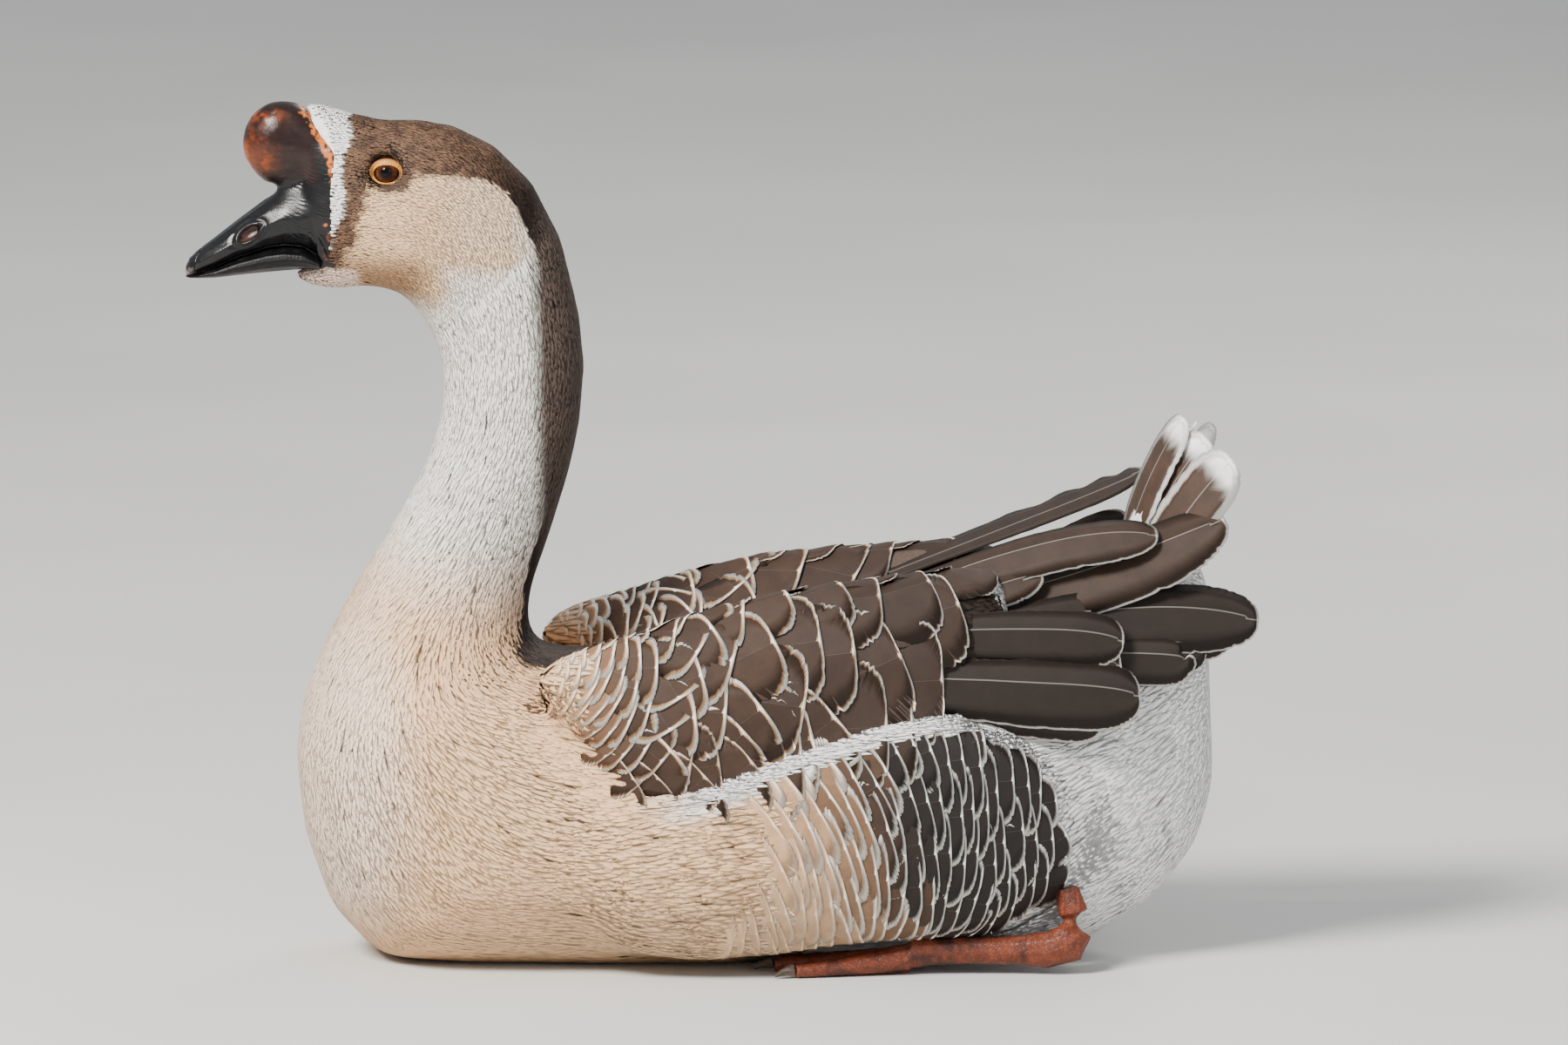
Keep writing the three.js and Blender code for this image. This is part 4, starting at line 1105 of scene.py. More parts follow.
def make_coverts(name, side, node):
    """The wing's broad feathers, small and pale in front, and large and dark behind."""
    shield = Shield(node, side, *COVERT_AREA)
    steps = np.gradient([x for x, _ in COVERT_COLUMNS])
    tips, ways, lengths, widths, shares = [], [], [], [], []
    for column, (x, number) in enumerate(COVERT_COLUMNS):
        step = steps[column]
        rear = smooth(-20, 90, x)
        tall = shield.height(x)
        for row in range(number):
            share = (row + 0.5 + 0.5 * (column % 2) + RNG.uniform(-0.08, 0.08)) / (number + 0.5)
            lean = WING_LEAN + 34 * rear
            tips.append((x + lean * (share - 0.5) + RNG.uniform(-0.1, 0.1) * step, share))
            widths.append((1.85 - 0.05 * rear) * tall / number * RNG.uniform(0.96, 1.06))
            lengths.append((2.0 * step + 12) * RNG.uniform(0.95, 1.08))
            ways.append(0.38 - 0.5 * share - 0.2 * rear)
            shares.append(share)
    tips, ways = np.array(tips), np.array(ways)
    lengths, widths, shares = np.array(lengths), np.array(widths), np.array(shares)
    lengths = lengths - 9 * smooth(-70, -90, tips[:, 0])
    under = under_flank_top(shield.place(*tips.T))
    x = tips[:, 0]
    seen = under < 8 * smooth(30, 80, x) - 3 - 3 * smooth(-10, -40, x)
    kept = (v[seen] for v in (x, ways, lengths, widths, shares, under))
    x, ways, lengths, widths, shares, under = kept
    roots, ways = shield.tiles(x, shares, ways, lengths)
    tone = RNG.uniform(0.88, 1.12, len(x))[:, None]
    front = smooth(-62, -100, x)
    lowest = smooth(-34, -10, under) * smooth(50, 10, x) * (1 - front)
    middle = mix(FEATHER_BROWN, FEATHER_PALE, smooth(-40, -85, x))
    middle = mix(middle, BREAST_BUFF * 0.8, front)
    middle = mix(middle, FEATHER_DARK, 0.55 * smooth(0, 120, x)) * tone
    middle = mix(middle, FEATHER_BROWN, 0.7 * lowest)
    border = mix(FRINGE_BUFF, FEATHER_BROWN, 0.75 * smooth(30, 130, x))
    border = mix(border, BREAST_BUFF * 0.9, front)
    border = mix(border, FEATHER_BROWN, 0.6 * lowest)
    edge = mix(FRINGE_WHITE, BREAST_BUFF, 0.9 * front)
    edge = mix(edge, FRINGE_BUFF, 0.55 * lowest)
    fringe = 2.1 - 0.9 * smooth(-20, 110, x) - 0.9 * lowest
    draped_feathers(name, roots, ways, lengths, widths, (middle, border, edge), fringe,
                    depth=3.2 + smooth(20, 80, x), roll=side * 0.55 / widths,
                    barbs=30, plan=(0.5, 0.4, 0.76, 0.25, 0.55), bare_sides=5, bare_to=0.86)


FLANK_STEP = 8.4  # between one column of tips and the next
FLANK_ROW = 34  # between one feather and the next in a column, about
FLANK_LONG = 32
FLANK_FIRST, FLANK_LAST = -4, 222
FLANK_AREA = (-112, 204, -100, 85)
# A column's tips lie in an arc: the share of the height where it is furthest back, and how much
# further forward its upper and lower ends are.
FLANK_BEND = {"level": 0.35, "upper": 62, "lower_rear": 120}


def make_flank(name, side, node):
    """The flank's broad feathers, whose ends line up in arcs across it: faint bars in front, and
    dark ones with white edges behind."""
    shield = Shield(node, side, *FLANK_AREA)
    tips, lengths, widths = [], [], []
    for x in np.arange(FLANK_FIRST, FLANK_LAST, FLANK_STEP):
        tall = shield.height(np.clip(x, -100, 196))
        number = max(3, round(tall / FLANK_ROW))
        start = RNG.uniform(0, 1)
        for row in range(number + 1):
            share = (row + start + RNG.uniform(-0.1, 0.1)) / (number + 1)
            tips.append((x + RNG.uniform(-1.5, 1.5), share))
            widths.append(2.1 * tall / (number + 1) * RNG.uniform(0.94, 1.08))
            lengths.append(FLANK_LONG * RNG.uniform(0.96, 1.04))
    tips, lengths, widths = np.array(tips), np.array(lengths), np.array(widths)
    x, share = tips.T
    over = share - FLANK_BEND["level"]
    rear = smooth(60, 170, x)
    bend = np.where(over > 0, FLANK_BEND["upper"] * (1 - 0.3 * rear),
                    FLANK_BEND["lower_rear"] * rear)
    tall = np.array([shield.height(value) for value in np.clip(x, -100, 196)])
    turn = -np.arctan(2 * bend * over / tall)
    x = x - bend * over**2
    under = under_flank_top(shield.place(x, share))
    inside = (x > 2 + 46 * RNG.random(len(x))) & (x < 197) & (under > 2 + 3 * smooth(120, 190, x))
    widths = np.minimum(widths, 14 + 2 * under)
    kept = (v[inside] for v in (x, share, turn, lengths, widths, under))
    x, share, turn, lengths, widths, under = kept
    roots, ways = shield.tiles(x, share, turn, lengths)
    uneven = RNG.normal(0, 1, len(x))
    strong = smooth(-20, 104, x + 55 * (share - 0.6) + 6 * uneven)  # how strongly the bars show
    dark = smooth(62, 122, x + 45 * (share - 0.5) + 6 * uneven)
    # Painted shade: the flank's lower feathers take the darker, greyer belly buff.
    ground = mix(BREAST_BUFF, SHADED_BELLY_BUFF, smooth(0.6, 0.2, share))
    faint = 0.42 * smooth(-6, 30, x)
    middle = mix(mix(ground * 0.92, BAR_BROWN, np.maximum(strong, faint)), BAR_DARK, dark)
    edge = mix(ground, FRINGE_WHITE, strong**1.5)
    top = smooth(8, 3, under + 2 * uneven) * smooth(-45, 0, x)
    middle = mix(middle, FRINGE_WHITE * 0.97, top)
    edge = mix(edge, FRINGE_WHITE, top)
    border = mix(middle, mix(mix(middle, edge, 0.5), middle, 0.4 * dark), strong)
    lifted = smooth(0, 90, x)
    draped_feathers(name, roots, ways, lengths, widths, (middle, border, edge), 3.0 - 1.5 * dark,
                    depth=1.2 + 1.3 * lifted, roll=side * (0.22 + 0.2 * lifted) / widths,
                    barbs=34, plan=(0.5, 0.4, 0.74, 0.25, 0.5), bare_sides=4,
                    thick=0.1)


# ---------------------------------------------------------------- held long feathers
RAISED = {  # the right wing's tertials: turn up about a pivot, sag of the middle, share of the reach
    "pivot": (110, 205),
    "inner": {"turn": 0.13, "up": 7, "sag": 8, "reach": 1.0, "flatter": 1.94},
    "outer": {"turn": 0.08, "up": -6, "sag": 0, "reach": 0.72, "flatter": 0.9},
}
TUCKED_REACH = 0.78  # share of the left wing's reach that the right wing's lower feathers have
# Sets of long feathers: root, middle and tip of each as x, y out from the middle and z, full width,
# and lift of the face above the horizontal.
TERTIAL_INNER = [(((96, 40, 212), (185, 42, 242), (249.5, 43, 250)), 33, 0.98)]
TERTIAL_OUTER = [
    (((112, 50, 203), (210, 48, 226), (287.5, 41, 260)), 44, 0.86),
    (((122, 66, 190), (156, 66, 200), (188, 60, 204)), 24, 0.7),
    (((112, 57, 203), (150, 56, 218), (183, 50, 229)), 23, 0.85),
]
SECONDARIES = [
    (((110, 89, 156), (175, 84.5, 150), (206, 78, 150)), 24, 0.10),
    (((110, 90, 162), (180, 85.5, 152), (217, 78.5, 148)), 26, 0.12),
    (((92, 92, 172), (185, 87, 166), (239, 79, 163)), 40, 0.3),
    (((96, 85, 186), (182, 81, 182), (228, 75, 180)), 36, 0.33),
    (((96, 82, 196), (180, 79, 197), (229.5, 73, 193.5)), 33, 0.36),
]
PRIMARIES = [
    (((120, 71, 186), (230, 67, 182), (264, 62, 181)), 28, 0.3),
    (((130, 69, 190), (232, 64, 188), (276, 57, 188)), 30, 0.36),
    (((140, 68, 193), (234, 61, 196), (292, 53, 195)), 34, 0.43),
    (((150, 66, 196), (235, 59, 205), (307, 50, 202)), 41, 0.5),
]


def held_place(place, side, raised):
    """Where a point of the left wing's feather lies on either side."""
    x, y, z = place
    if not raised or side == SIDES["left"]:
        return np.array([x, side * y, z], float)
    dx, dz = x - RAISED["pivot"][0], z - RAISED["pivot"][1]
    cos, sin = math.cos(raised["turn"]), math.sin(raised["turn"])
    return np.array([RAISED["pivot"][0] + dx * cos - dz * sin, side * y,
                     RAISED["pivot"][1] + raised["up"] + dz * cos + dx * sin])


FREE_BARBS = 46
FREE_THICK = 0.35
FREE_SHAFT = 0.6  # half width of the shaft


def held_feathers(name, side, feathers, raised, tints, fringe, node, ruffle):
    """Long feathers of a folded wing, each a cambered vane along its own curve."""
    right = side == SIDES["right"]
    ends = np.array([[held_place(p, side, raised) for p in points] for points, _, _ in feathers])
    if right:
        reach = raised["reach"] if raised else TUCKED_REACH
        ends[:, 1:] = ends[:, :1] + (ends[:, 1:] - ends[:, :1]) * reach
        ends[:, 1, 2] -= raised["sag"] if raised else 0
    root, middle, tip = ends[:, 0], ends[:, 1], ends[:, 2]
    pull = 2 * middle - (root + tip) / 2
    width = np.array([w for _, w, _ in feathers], float)
    flatter = raised["flatter"] if raised and right else 1
    lift = np.array([v for _, _, v in feathers]) * flatter
    normal = np.stack([0 * lift, side * np.cos(lift), np.sin(lift)], 1)
    place_free_vanes(name, root, pull, tip, width, normal, -side, tints, fringe, node, ruffle,
                     FREE_BARBS, plan=(0.72, 0.45, 0.7, 0.16, 0.75), shaft=-0.3, flipped=right,
                     hidden_edge=1.2)


def place_free_vanes(name, root, pull, tip, width, normal, hand, tints, fringe, node, ruffle, barbs,
                     plan, shaft, flipped, camber=0.16, end=None, ragged=0.05, hidden_edge=0.0):
    """Feathers that stand free, cambered across and bent on a curve from root to tip. Their faces
    look along the normals, and hand says which of the two vanes is the first."""
    length = np.linalg.norm(pull - root, axis=1) * 0.5 + np.linalg.norm(tip - pull, axis=1) * 0.5
    grid = vane_plan(barbs, *plan)
    a, c, rim = vane_grid(grid, length, width, ragged, shaft)
    rim = rim + np.where(c < 0, 0, hidden_edge) * smooth(0.985, 0.9, a / by_feather(length))
    half = grid[1][None, None, :, None] * by_feather(width / 2)
    share = np.clip(a / by_feather(length), 0, 1)[..., None]
    root, pull, tip, normal = (by_feather(v) for v in (root, pull, tip, normal))
    line = root * (1 - share) ** 2 + 2 * pull * share * (1 - share) + tip * share**2
    ahead = unit((pull - root) * (1 - share) + (tip - pull) * share)
    across = unit(np.cross(normal, ahead)) * hand
    face = unit(np.cross(ahead, across)) * hand
    wide = c / by_feather(width / 2)
    height = -camber * wide**2 * by_feather(width / 2) + 0.5 * (np.abs(c) < 1e-6)
    wave = np.sin(a / 2.3 + 1.3 * np.sin(a / 11)) * smooth(0.35, 1.0, -wide)
    height = height + ruffle * (wave * smooth(0.3, 0.45, share[..., 0]))
    top = line + across * (c - shaft * half)[..., None] + face * height[..., None]
    finish_vanes(name, top, face, FREE_THICK, a, c, rim, length, tints, fringe,
                 FREE_SHAFT, node, flipped=flipped, tip=end)


def even_tints(count, middle, border, edge):
    """The same tints for several feathers, whose middles differ a little in brightness."""
    tone = RNG.uniform(0.92, 1.08, count)[:, None]
    ones = np.ones((count, 1))
    return tone * middle, ones * border, ones * edge


TERTIAL_TINTS = (srgb(51, 36, 26), srgb(84, 64, 52), srgb(250, 246, 240))
QUILL_TINTS = (srgb(30, 20, 14), srgb(58, 43, 35), srgb(240, 234, 226))


def make_wing_tip(label, side):
    """The long feathers of a folded wing. Those that the right wing raises are darkened as painted
    shade.
    """
    right = side == SIDES["right"]
    for part, feathers, raised, colours, edge, ruffle in (
        ("tertial_inner", TERTIAL_INNER, RAISED["inner"], TERTIAL_TINTS, 0.85, 1.1 if right else 0.0),
        ("tertial_outer", TERTIAL_OUTER, RAISED["outer"], TERTIAL_TINTS, 0.95, 0.0),
        ("secondaries", SECONDARIES, None, QUILL_TINTS, 0.9, 0.0),
        ("primaries", PRIMARIES, None, QUILL_TINTS, 0.6, 0.0),
    ):
        # Painted shade on the right wing's raised feathers.
        painted_shade = 0.62 if raised and right else 1
        tints = even_tints(len(feathers), *np.array(colours) * painted_shade)
        held_feathers(f"{part}_{label}", side, feathers, raised, tints,
                      np.full(len(feathers), edge), [f"wing_{part}_{label}"], ruffle)


# ---------------------------------------------------------------- tail
TAIL = {"quills": 5, "root": (231, 226), "ridge_tip": (267, 313.5), "bow": -10, "spread": 38,
        "arch_left": 36, "arch_right": 22, "root_spread": 20, "width": 38, "roll": 0.45}
TAIL_WHITE = srgb(250, 249, 245)
TAIL_BROWN = srgb(66, 48, 38)
TAIL_BORDER = srgb(214, 206, 196)
TAIL_COVERTS = 8


def tail_fan(name, number, reach, width, forward, tints, end):
    """An arched fan of feathers, the middle ones uppermost, as long as a share of the quills."""
    across = np.linspace(-1, 1, number)
    drop = np.where(across < 0, TAIL["arch_left"], TAIL["arch_right"]) * np.abs(across) ** 1.1
    (root_x, root_z), (ridge_x, ridge_z) = TAIL["root"], TAIL["ridge_tip"]
    root = np.stack([root_x + 0.35 * drop, TAIL["root_spread"] * across, root_z - 0.2 * drop], 1)
    tip = np.stack([ridge_x + 0.72 * drop, TAIL["spread"] * across, ridge_z - 0.5 * drop], 1)
    tip = root + (tip - root) * (reach * RNG.uniform(0.97, 1, number))[:, None]
    bow = root * 0.45 + tip * 0.55 + np.array([TAIL["bow"] * reach, 0, 0])
    ones = np.ones(number)
    normal = unit(np.stack([-ones, across - TAIL["roll"], 0.35 * ones], 1))
    lap = 1.6 * (1 - np.abs(across))[:, None] * normal + forward * normal
    place_free_vanes(name, root + lap, bow + lap, tip + lap, np.full(number, float(width)), normal, 1,
                     even_tints(number, *tints), np.full(number, 2.0), ["tail"], 0.0, 34,
                     plan=(0.6, 0.4, 0.75, 0.14, 0.7), shaft=0.0, flipped=False, camber=0.1, end=end,
                     ragged=0.07)


def make_tail():
    """Brown quills with white edges and ends, and short white feathers over their roots."""
    tail_fan("tail_feathers", TAIL["quills"], 1.0, TAIL["width"], 0,
             (TAIL_BROWN, TAIL_BORDER, TAIL_WHITE), (TAIL_WHITE, 0.8, 0.9))
    tail_fan("tail_coverts", TAIL_COVERTS, 0.45, 22, 3.0, (TAIL_WHITE, TAIL_WHITE, TAIL_WHITE), None)


# ---------------------------------------------------------------- bill, knob and bare face
BILL_VOXEL = 0.6
NAIL_VOXEL = 0.45
FACE_ROUNDS = 260
FACE_OVERLAP = 0.5
CLIP_REAR_X = -221  # the bare face runs in under the plumage as far as this
CLIP_SLOPE = ((-221, 466), (-240.5, 497))  # and slants forward above, as x, z
BARE_EDGE = [(441, -224), (454, -224), (464, -226), (472, -229.5), (479.5, -234.5), (487, -238.5),
             (494.7, -243)]  # z, x behind which the bare skin turns orange
NOSTRIL = {"x": -270.5, "z": 420.2, "long": 7.2, "high": 3.6, "tilt": 0.62}
BLACK_SKIN = srgb(13, 13, 16)
BILL_GREY = srgb(44, 38, 38)
WORN_HORN = srgb(150, 142, 134)
KNOB_DARK = srgb(30, 17, 16)
KNOB_RED = srgb(56, 25, 13)
KNOB_EMBER = srgb(150, 66, 12)
STRIP_ORANGE = srgb(190, 106, 40)


def clipped_head():
    """The front of the head, cut off under the edge of the plumage and closed."""
    shape = bmesh.new()
    shape.from_mesh(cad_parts["head"].data)
    bmesh.ops.remove_doubles(shape, verts=shape.verts, dist=1e-5)
    (x0, z0), (x1, z1) = CLIP_SLOPE
    planes = (((CLIP_REAR_X, 0, 450), (1, 0, 0)), ((x0, 0, z0), (z1 - z0, 0, x0 - x1)))
    for place, normal in planes:
        everything = shape.verts[:] + shape.edges[:] + shape.faces[:]
        cut = bmesh.ops.bisect_plane(shape, geom=everything, plane_co=Vector(place) * MM,
                                     plane_no=Vector(normal), clear_outer=True)
        edges = [e for e in cut["geom_cut"] if isinstance(e, bmesh.types.BMEdge)]
        bmesh.ops.holes_fill(shape, edges=edges, sides=0)
    bmesh.ops.triangulate(shape, faces=shape.faces)
    shape.normal_update()
    points = np.array([v.co + v.normal * FACE_OVERLAP * MM for v in shape.verts]) / MM
    faces = np.array([[v.index for v in f.verts] for f in shape.faces])
    shape.free()
    return points, faces


def nostril_place(points):
    """Places along and across the nostril, in shares of its half sizes."""
    dx, dz = points[:, 0] - NOSTRIL["x"], points[:, 2] - NOSTRIL["z"]
    cos, sin = math.cos(NOSTRIL["tilt"]), math.sin(NOSTRIL["tilt"])
    return (dx * cos + dz * sin) / NOSTRIL["long"], (dz * cos - dx * sin) / NOSTRIL["high"]


def face_relief(points):
    """How far the bill and knob stand out of their smooth form."""
    x, y, z = points.T
    side = smooth(4, 9, np.abs(y))
    knob = smooth(446, 452, z) * smooth(-236, -246, x)
    relief = knob * (0.35 * noise(points, 9, 11) + 0.16 * noise(points, 3.4, 12))
    base = smooth(-254, -242, x) * smooth(-220, -228, x) * smooth(468, 450, z)
    base = base * smooth(404, 412, z) * side
    flow = z + 0.3 * (x + 240) + 3.2 * noise(points, 11, 13) + 1.0 * noise(points, 4, 15)
    folds = base * 0.13 * np.sin(flow * 2.7)
    relief = relief + folds * smooth(-0.5, 0.5, noise(points * [0.5, 1, 1], 6, 14))
    corner = smooth(-240, -231, x) * smooth(424, 416, z) * smooth(402, 406, z) * side
    relief = relief + corner * 0.55 * np.sin(x * 1.1 + 0.5 * z)
    along, across = nostril_place(points)
    out = np.hypot(along, across)
    rim = 0.75 * np.exp(-((out - 1.12) / 0.16) ** 2)
    groove = 0.5 * np.exp(-((out - 1.6) / 0.22) ** 2)
    relief = relief + side * (rim - groove - 2.6 * smooth(1.0, 0.72, out))
    over_mouth = z - 414.5 - 0.12 * (x + 250) * (x < -250)
    gape = smooth(-232, -238, x) * np.exp(-(over_mouth / 2.2) ** 2) * side
    return relief + 0.25 * gape


def face_tint(points):
    """Black bill, dark brown knob that glows orange low in front, and a mottled orange edge."""
    x, y, z = points.T
    lumps, specks, grains = noise(points, 8, 21), noise(points, 2.6, 22), noise(points, 1.1, 26)
    knob = smooth(446, 456, z + 2 * specks) * smooth(-226, -238, x)
    tint = mix(BLACK_SKIN, KNOB_DARK, knob)
    front = smooth(-250, -262, x) * smooth(448, 456, z)
    patchy = smooth(-0.25, 0.75, 0.7 * lumps + 0.5 * specks + 0.25 * grains)
    low_glow = np.exp(-((x + 269) ** 2 / 90 + (z - 462) ** 2 / 110))
    top_glow = np.exp(-((z - 489) / 3.5) ** 2) * smooth(-246, -256, x)
    tint = mix(tint, KNOB_RED, 0.75 * knob * patchy * np.clip(0.35 + 0.65 * front, 0, 1))
    embers = 0.95 * low_glow * (0.35 + 0.65 * patchy) + 0.55 * top_glow * patchy
    embers = embers + 0.15 * front * patchy
    tint = mix(tint, KNOB_EMBER, np.clip(embers, 0, 1))
    edge = table(BARE_EDGE, z) + 1.6 * specks + 0.7 * grains
    strip = smooth(-0.8, 0.8, x - edge) * smooth(446, 458, z + 3 * specks)
    orange = mix(STRIP_ORANGE, KNOB_RED, smooth(-0.3, 0.6, grains + 0.7 * specks))
    spots = smooth(0.1, 0.5, specks + 0.3 * lumps) * smooth(-229, -226, x) * smooth(431, 426, z)
    tint = mix(tint, orange, np.maximum(strip, spots))
    along, across = nostril_place(points)
    inside = smooth(0.95, 0.8, np.hypot(along, across)) * (np.abs(y) > 5)
    tint = mix(tint, srgb(96, 62, 52), 0.5 * inside)
    return mix(tint, srgb(60, 56, 54), 0.5 * smooth(-299, -304, x))


def face_finish(name, specular, smoothest, roughest):
    """Bare skin and horn, with a fine grain and a sheen that varies."""
    f = Finish(name, roughest, specular)
    fine = f.noise(900, 4)
    grain = f.noise(300, 3, stretch=(0.5, 1, 1.6))
    rough = f.uneven(f.noise(70), smoothest, roughest)
    bump = f.math("ADD", fine, grain)
    return f.done(f.tinted(f.uneven(grain, 0.82, 1.2)), bump, 0.35, 0.0003, rough)


def make_face(finish):
    """The knob, the upper bill and the bare front of the head as one form."""
    head_points, head_faces = clipped_head()
    points, faces, _ = nodes_arrays(["bill_upper", "knob"], FACE_OVERLAP)
    faces = np.concatenate([faces, head_faces + len(points)])
    points = np.concatenate([points, head_points])
    points, normals, quads = remeshed(points, faces, BILL_VOXEL, 6)
    points = points - normals * (FACE_OVERLAP - 0.1)
    x, _, z = points.T
    joint = smooth(-262, -252, x) * smooth(-223, -231, x) * smooth(428, 442, z)
    ball = smooth(-232, -238, x) * smooth(449, 455, z)
    points = relaxed(points, quads, np.maximum(joint, 0.5 * ball), FACE_ROUNDS)
    sunk = 1.6 * smooth(0.2, 3, behind_face(points)) * smooth(-0.5, 0.5, points[:, 2] - 404)
    points = points + vertex_normals(points, quads) * (face_relief(points) - sunk)[:, None]
    make_piece("bill_and_knob", points, [quads], finish, ["bill_upper", "knob"],
               colour=face_tint(points))


def make_lower_bill(finish):
    """The lower half of the bill, with the teeth along its edge."""
    points, faces, _ = nodes_arrays(["bill_lower"])
    points, normals, quads = remeshed(points, faces, BILL_VOXEL)
    teeth = smooth(402, 409, points[:, 2]) * np.abs(np.sin(points[:, 0] * 1.45)) * 0.12
    points = points - normals * teeth[:, None]
    # Painted shade: the black of the lower bill is halved, as it lies in shade under the upper bill.
    make_piece("bill_lower_half", points, [quads], finish, ["bill_lower"],
               colour=mix(BLACK_SKIN * 0.5, BILL_GREY, 0.3 * smooth(0, 1, noise(points, 4, 23))))


def make_nail(finish):
    """The horny end of the upper bill, worn pale at its tip."""
    points, faces, _ = nodes_arrays(["bill_nail"])
    points, normals, quads = remeshed(points, faces, NAIL_VOXEL)
    low = smooth(400, 394, points[:, 2] + 1.5 * noise(points, 1.6, 24))
    worn = low * smooth(-300, -305, points[:, 0])
    points = points + normals * (0.12 * noise(points, 1.8, 25))[:, None]
    make_piece("nail", points, [quads], finish, ["bill_nail"],
               colour=mix(BLACK_SKIN * 1.3, WORN_HORN, worn))


# ---------------------------------------------------------------- eyes and lids
def eye_finish():
    """The eye, smooth and wet."""
    f = Finish("wet_eye", 0.06, 0.15)
    return f.done(f.tinted(f.uneven(f.noise(700), 0.8, 1.25)))


def lid_finish():
    """The lids' skin, finely beaded."""
    f = Finish("eyelid_skin", 0.5, 0.4)
    beads = f.noise(1300)
    return f.done(f.tinted(f.uneven(beads, 0.78, 1.15)), beads, 0.5, 0.0003)


def grid_faces(rows, columns, closed_rows=False):
    """Quads of a grid whose columns close into a ring, and its rows too if asked."""
    rings = rows if closed_rows else rows - 1
    row, column = np.meshgrid(np.arange(rings), np.arange(columns), indexing="ij")
    row, column = row.ravel(), column.ravel()
    next_row, next_column = (row + 1) % rows, (column + 1) % columns
    return np.stack([row * columns + column, row * columns + next_column,
                     next_row * columns + next_column, next_row * columns + column], 1)


BALL_DROP = 0.4  # how much lower the eyeball's middle lies than the opening's
CORNEA = 0.7
IRIS_DARK = srgb(46, 20, 10)
IRIS_BROWN = srgb(98, 50, 24)
PUPIL = srgb(8, 6, 6)
EYE_EDGE = srgb(28, 16, 12)
LID_GOLD = srgb(206, 142, 48)
LID_OUTER = srgb(150, 92, 34)
LID_INNER = srgb(58, 34, 24)
# Across the lids: the share of the way from the opening to the outer rim, and the height over the
# eye there.
LID_SECTION = [(0.0, 0.15), (0.02, 0.75), (0.2, 1.45), (0.45, 1.75), (0.7, 1.5), (0.92, 0.9),
               (1.05, -0.2), (1.0, -1.6), (0.5, -1.2), (0.05, -0.6)]


def make_eyeball(label, side, finish):
    """A ball with a cornea in front, a black pupil and a brown iris."""
    rings, around = 40, 64
    polar = np.linspace(0.004, math.pi - 0.004, rings)
    turn = np.linspace(0, 2 * math.pi, around, endpoint=False)
    p, t = np.meshgrid(polar, turn, indexing="ij")
    out = EYE["radius"] * np.sin(p)
    deep = EYE["radius"] * np.cos(p) + CORNEA * smooth(5.6, 2.0, out) * (p < 1.5)
    x, z = EYE["x"], EYE["z"] - BALL_DROP
    points = np.stack([x + out * np.cos(t), side * (EYE["y"] + deep), z + out * np.sin(t)], -1)
    points = points.reshape(-1, 3)
    mottled = smooth(-1, 0.8, noise(points, 0.9, 31)).reshape(out.shape)
    tint = mix(IRIS_DARK, IRIS_BROWN, smooth(3.4, 5.4, out) * mottled)
    tint = mix(tint, PUPIL, smooth(3.5, 3.1, out))
    tint = mix(tint, EYE_EDGE, smooth(5.6, 6.2, out))
    tint = np.concatenate([tint.reshape(-1, 3), PUPIL[None], EYE_EDGE[None]])
    poles = np.array([[x, side * (EYE["y"] + EYE["radius"] + CORNEA), z],
                      [x, side * (EYE["y"] - EYE["radius"]), z]])
    first = np.stack([np.arange(around), np.roll(np.arange(around), -1)], 1)
    last = first + (rings - 1) * around
    front = np.stack([np.full(around, rings * around), first[:, 1], first[:, 0]], 1)
    back = np.stack([np.full(around, rings * around + 1), last[:, 0], last[:, 1]], 1)
    order = 1 if side < 0 else -1
    faces = [grid_faces(rings, around)[:, ::-order], np.concatenate([front, back])[:, ::-order]]
    make_piece(f"eyeball_{label}", np.concatenate([points, poles]), faces, finish,
               [f"eye_{label}"], colour=tint)


def make_lids(label, side, finish):
    """A ring of creased golden skin around the eye's opening."""
    around = 120
    turn = np.linspace(0, 2 * math.pi, around, endpoint=False)
    cos, sin = np.cos(turn), np.sin(turn)
    opening = np.stack([OPENING["long"] * np.sign(cos) * np.abs(cos) ** 0.86,
                        OPENING["high"] * sin - OPENING["drop"]], 1)
    outer = np.stack([LID["long"] * cos, LID["high"] * sin], 1)
    rows = []
    for share, rise in LID_SECTION:
        flat = opening + (outer - opening) * share
        crease = 0.16 * np.sin(turn * 31 + 2 * np.sin(turn * 5)) * (rise > 0)
        reach = np.hypot(flat[:, 0], flat[:, 1] + BALL_DROP)
        ball = EYE["y"] + np.sqrt(np.maximum(EYE["radius"] ** 2 - reach**2, 0))
        base = ball + (LID["rim_y"] - ball) * smooth(0.25, 0.95, share)
        out = side * (base + rise * 0.75 + crease)
        rows.append(np.stack([EYE["x"] + flat[:, 0], out, EYE["z"] + flat[:, 1]], 1))
    points = np.array(rows)
    share = np.broadcast_to(np.array([s for s, _ in LID_SECTION])[:, None], points.shape[:2])
    tint = mix(LID_GOLD, LID_OUTER, smooth(0.5, 1.0, share))
    tint = mix(tint, LID_INNER, smooth(0.1, 0.0, share))
    faces = grid_faces(len(LID_SECTION), around, closed_rows=True)
    order = 1 if side < 0 else -1
    make_piece(f"lids_{label}", points.reshape(-1, 3), [faces[:, ::order]], finish,
               [f"eyelid_{label}"], colour=tint.reshape(-1, 3))


# ---------------------------------------------------------------- legs
LEG_VOXEL = 1.1
LEG_OVERLAP = 0.5
# The legs' orange skin and the dirt on it, both darkened as painted shade, as the legs lie in shade
# under the body.
SHADED_LEG_ORANGE = srgb(114, 52, 29)
SHADED_LEG_DIRT = srgb(66, 28, 18)
CLAW_DARK = srgb(44, 36, 31)
CLAW_PALE = srgb(86, 70, 58)


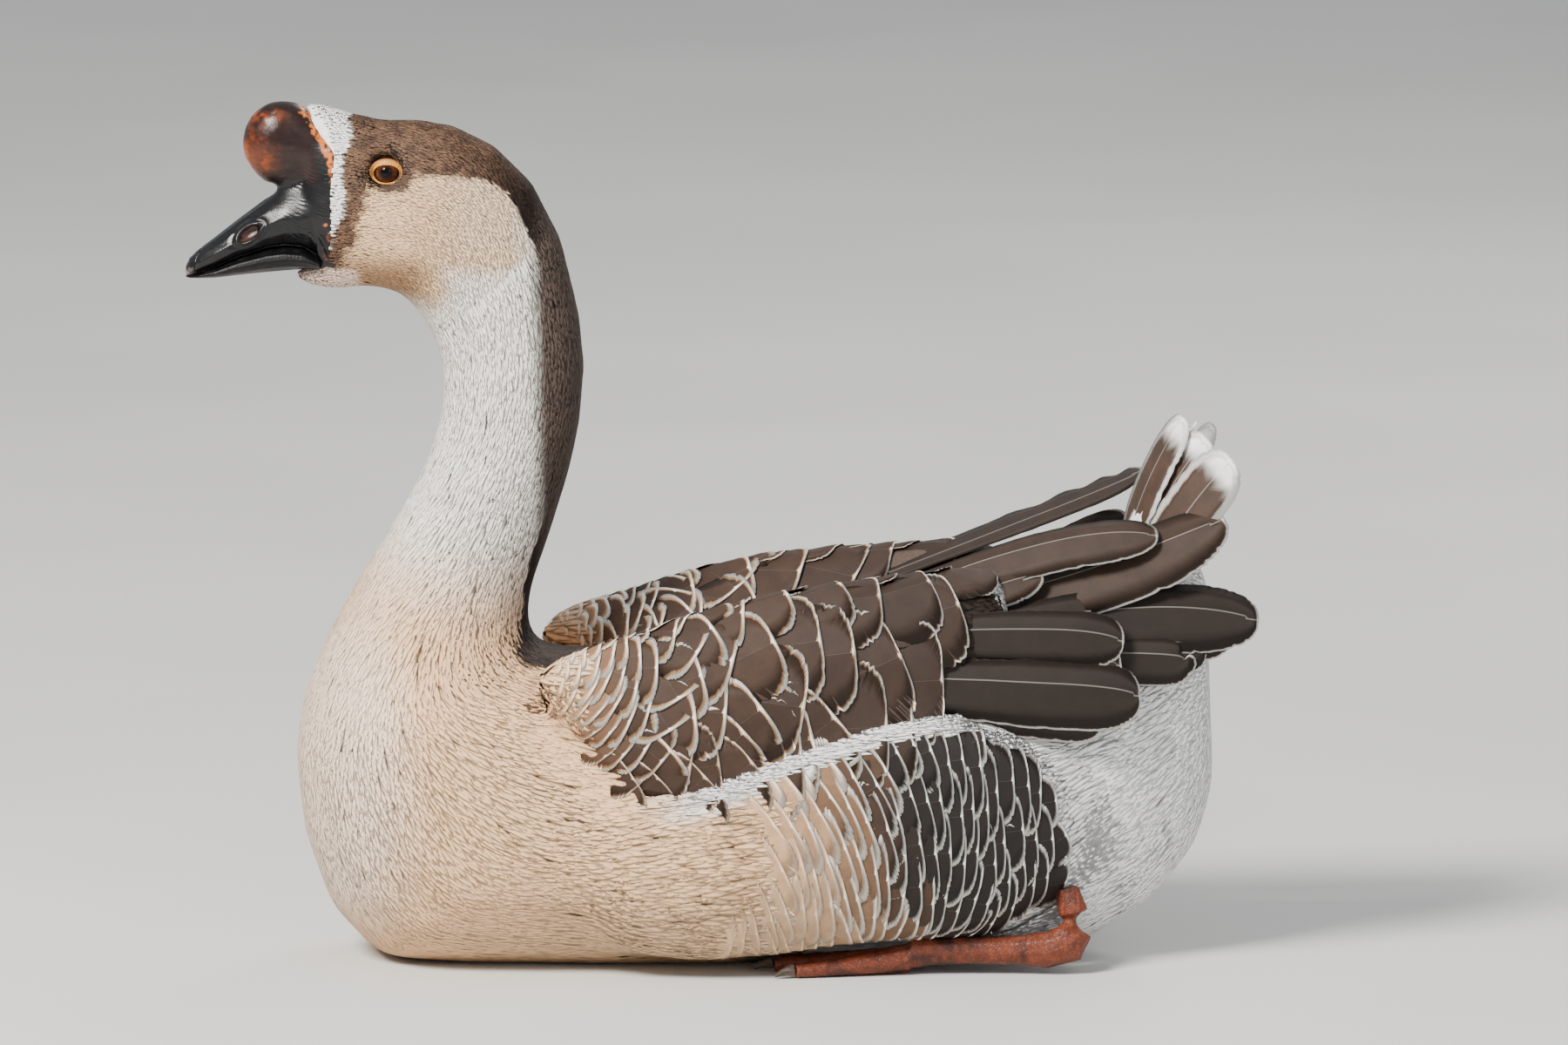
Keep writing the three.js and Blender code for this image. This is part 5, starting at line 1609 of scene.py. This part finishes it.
def leg_finish():
    """The legs' skin, with small scales worn pale in places."""
    f = Finish("leg_scales", 0.48, 0.4)
    by_edge = {"feature": "DISTANCE_TO_EDGE"}
    scales = f.node("ShaderNodeTexVoronoi", by_edge, Vector=f.here(), Scale=430.0)
    edge = f.spread(scales.outputs["Distance"], 0.0, 0.12)
    worn = f.uneven(f.noise(220), 0.85, 1.12)
    return f.done(f.tinted(f.math("MULTIPLY", f.spread(edge, 0, 1, 0.62, 1.05), worn)), edge, 0.5)


def make_leg(label, finish):
    """Shank, webbed foot and hind toe as one scaly skin."""
    nodes = [f"tarsus_{label}", f"foot_{label}", f"hallux_{label}"]
    points, faces, _ = nodes_arrays(nodes, LEG_OVERLAP)
    points, normals, quads = remeshed(points, faces, LEG_VOXEL, 5)
    points = points - normals * LEG_OVERLAP
    folds = np.sin(points[:, 0] * 0.9 + 0.6 * noise(points, 8, 41))
    creases = 0.35 * np.abs(folds) * smooth(14, 20, points[:, 2])
    bumps = 0.3 * noise(points, 3.0, 42)
    points = points + normals * (bumps + creases - 0.3)[:, None]
    points[:, 2] = np.maximum(points[:, 2], 0.05)
    dirt = noise(points, 9, 43) + 0.5 * noise(points, 3, 44)
    # Orange with random patches of dirt, both in their painted-shade colours.
    tint = mix(SHADED_LEG_ORANGE, SHADED_LEG_DIRT, smooth(-0.2, 0.9, dirt))
    make_piece(f"leg_{label}", points, [quads], finish, nodes, colour=tint)


def claw_finish():
    """Horn with a grain along the claw."""
    f = Finish("claw_horn", 0.4, 0.5)
    grain = f.noise(500, 3, stretch=(0.3, 1, 1))
    return f.done(f.blend(f.uneven(grain), CLAW_DARK, CLAW_PALE), grain, 0.3, 0.0002)


VANE = vane_finish()
make_coats()
bare_skin = face_finish("bare_face", 0.36, 0.22, 0.36)
make_face(bare_skin)
make_lower_bill(face_finish("lower_bill", 0.22, 0.38, 0.5))
make_nail(bare_skin)
wet, lid_skin, scaly, horn = eye_finish(), lid_finish(), leg_finish(), claw_finish()
for name, side in SIDES.items():
    make_eyeball(name, side, wet)
    make_lids(name, side, lid_skin)
    make_leg(name, scaly)
    for toe in ("inner", "middle", "outer"):
        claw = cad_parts[f"claw_{toe}_{name}"]
        claw.data.materials.clear()
        claw.data.materials.append(horn)
for name, side in SIDES.items():
    make_coverts(f"coverts_{name}", side, f"wing_coverts_{name}")
    make_flank(f"flank_feathers_{name}", side, f"flank_{name}")
    make_flank_edge(f"flank_edge_{name}", side)
    make_wing_tip(name, side)
make_tail()
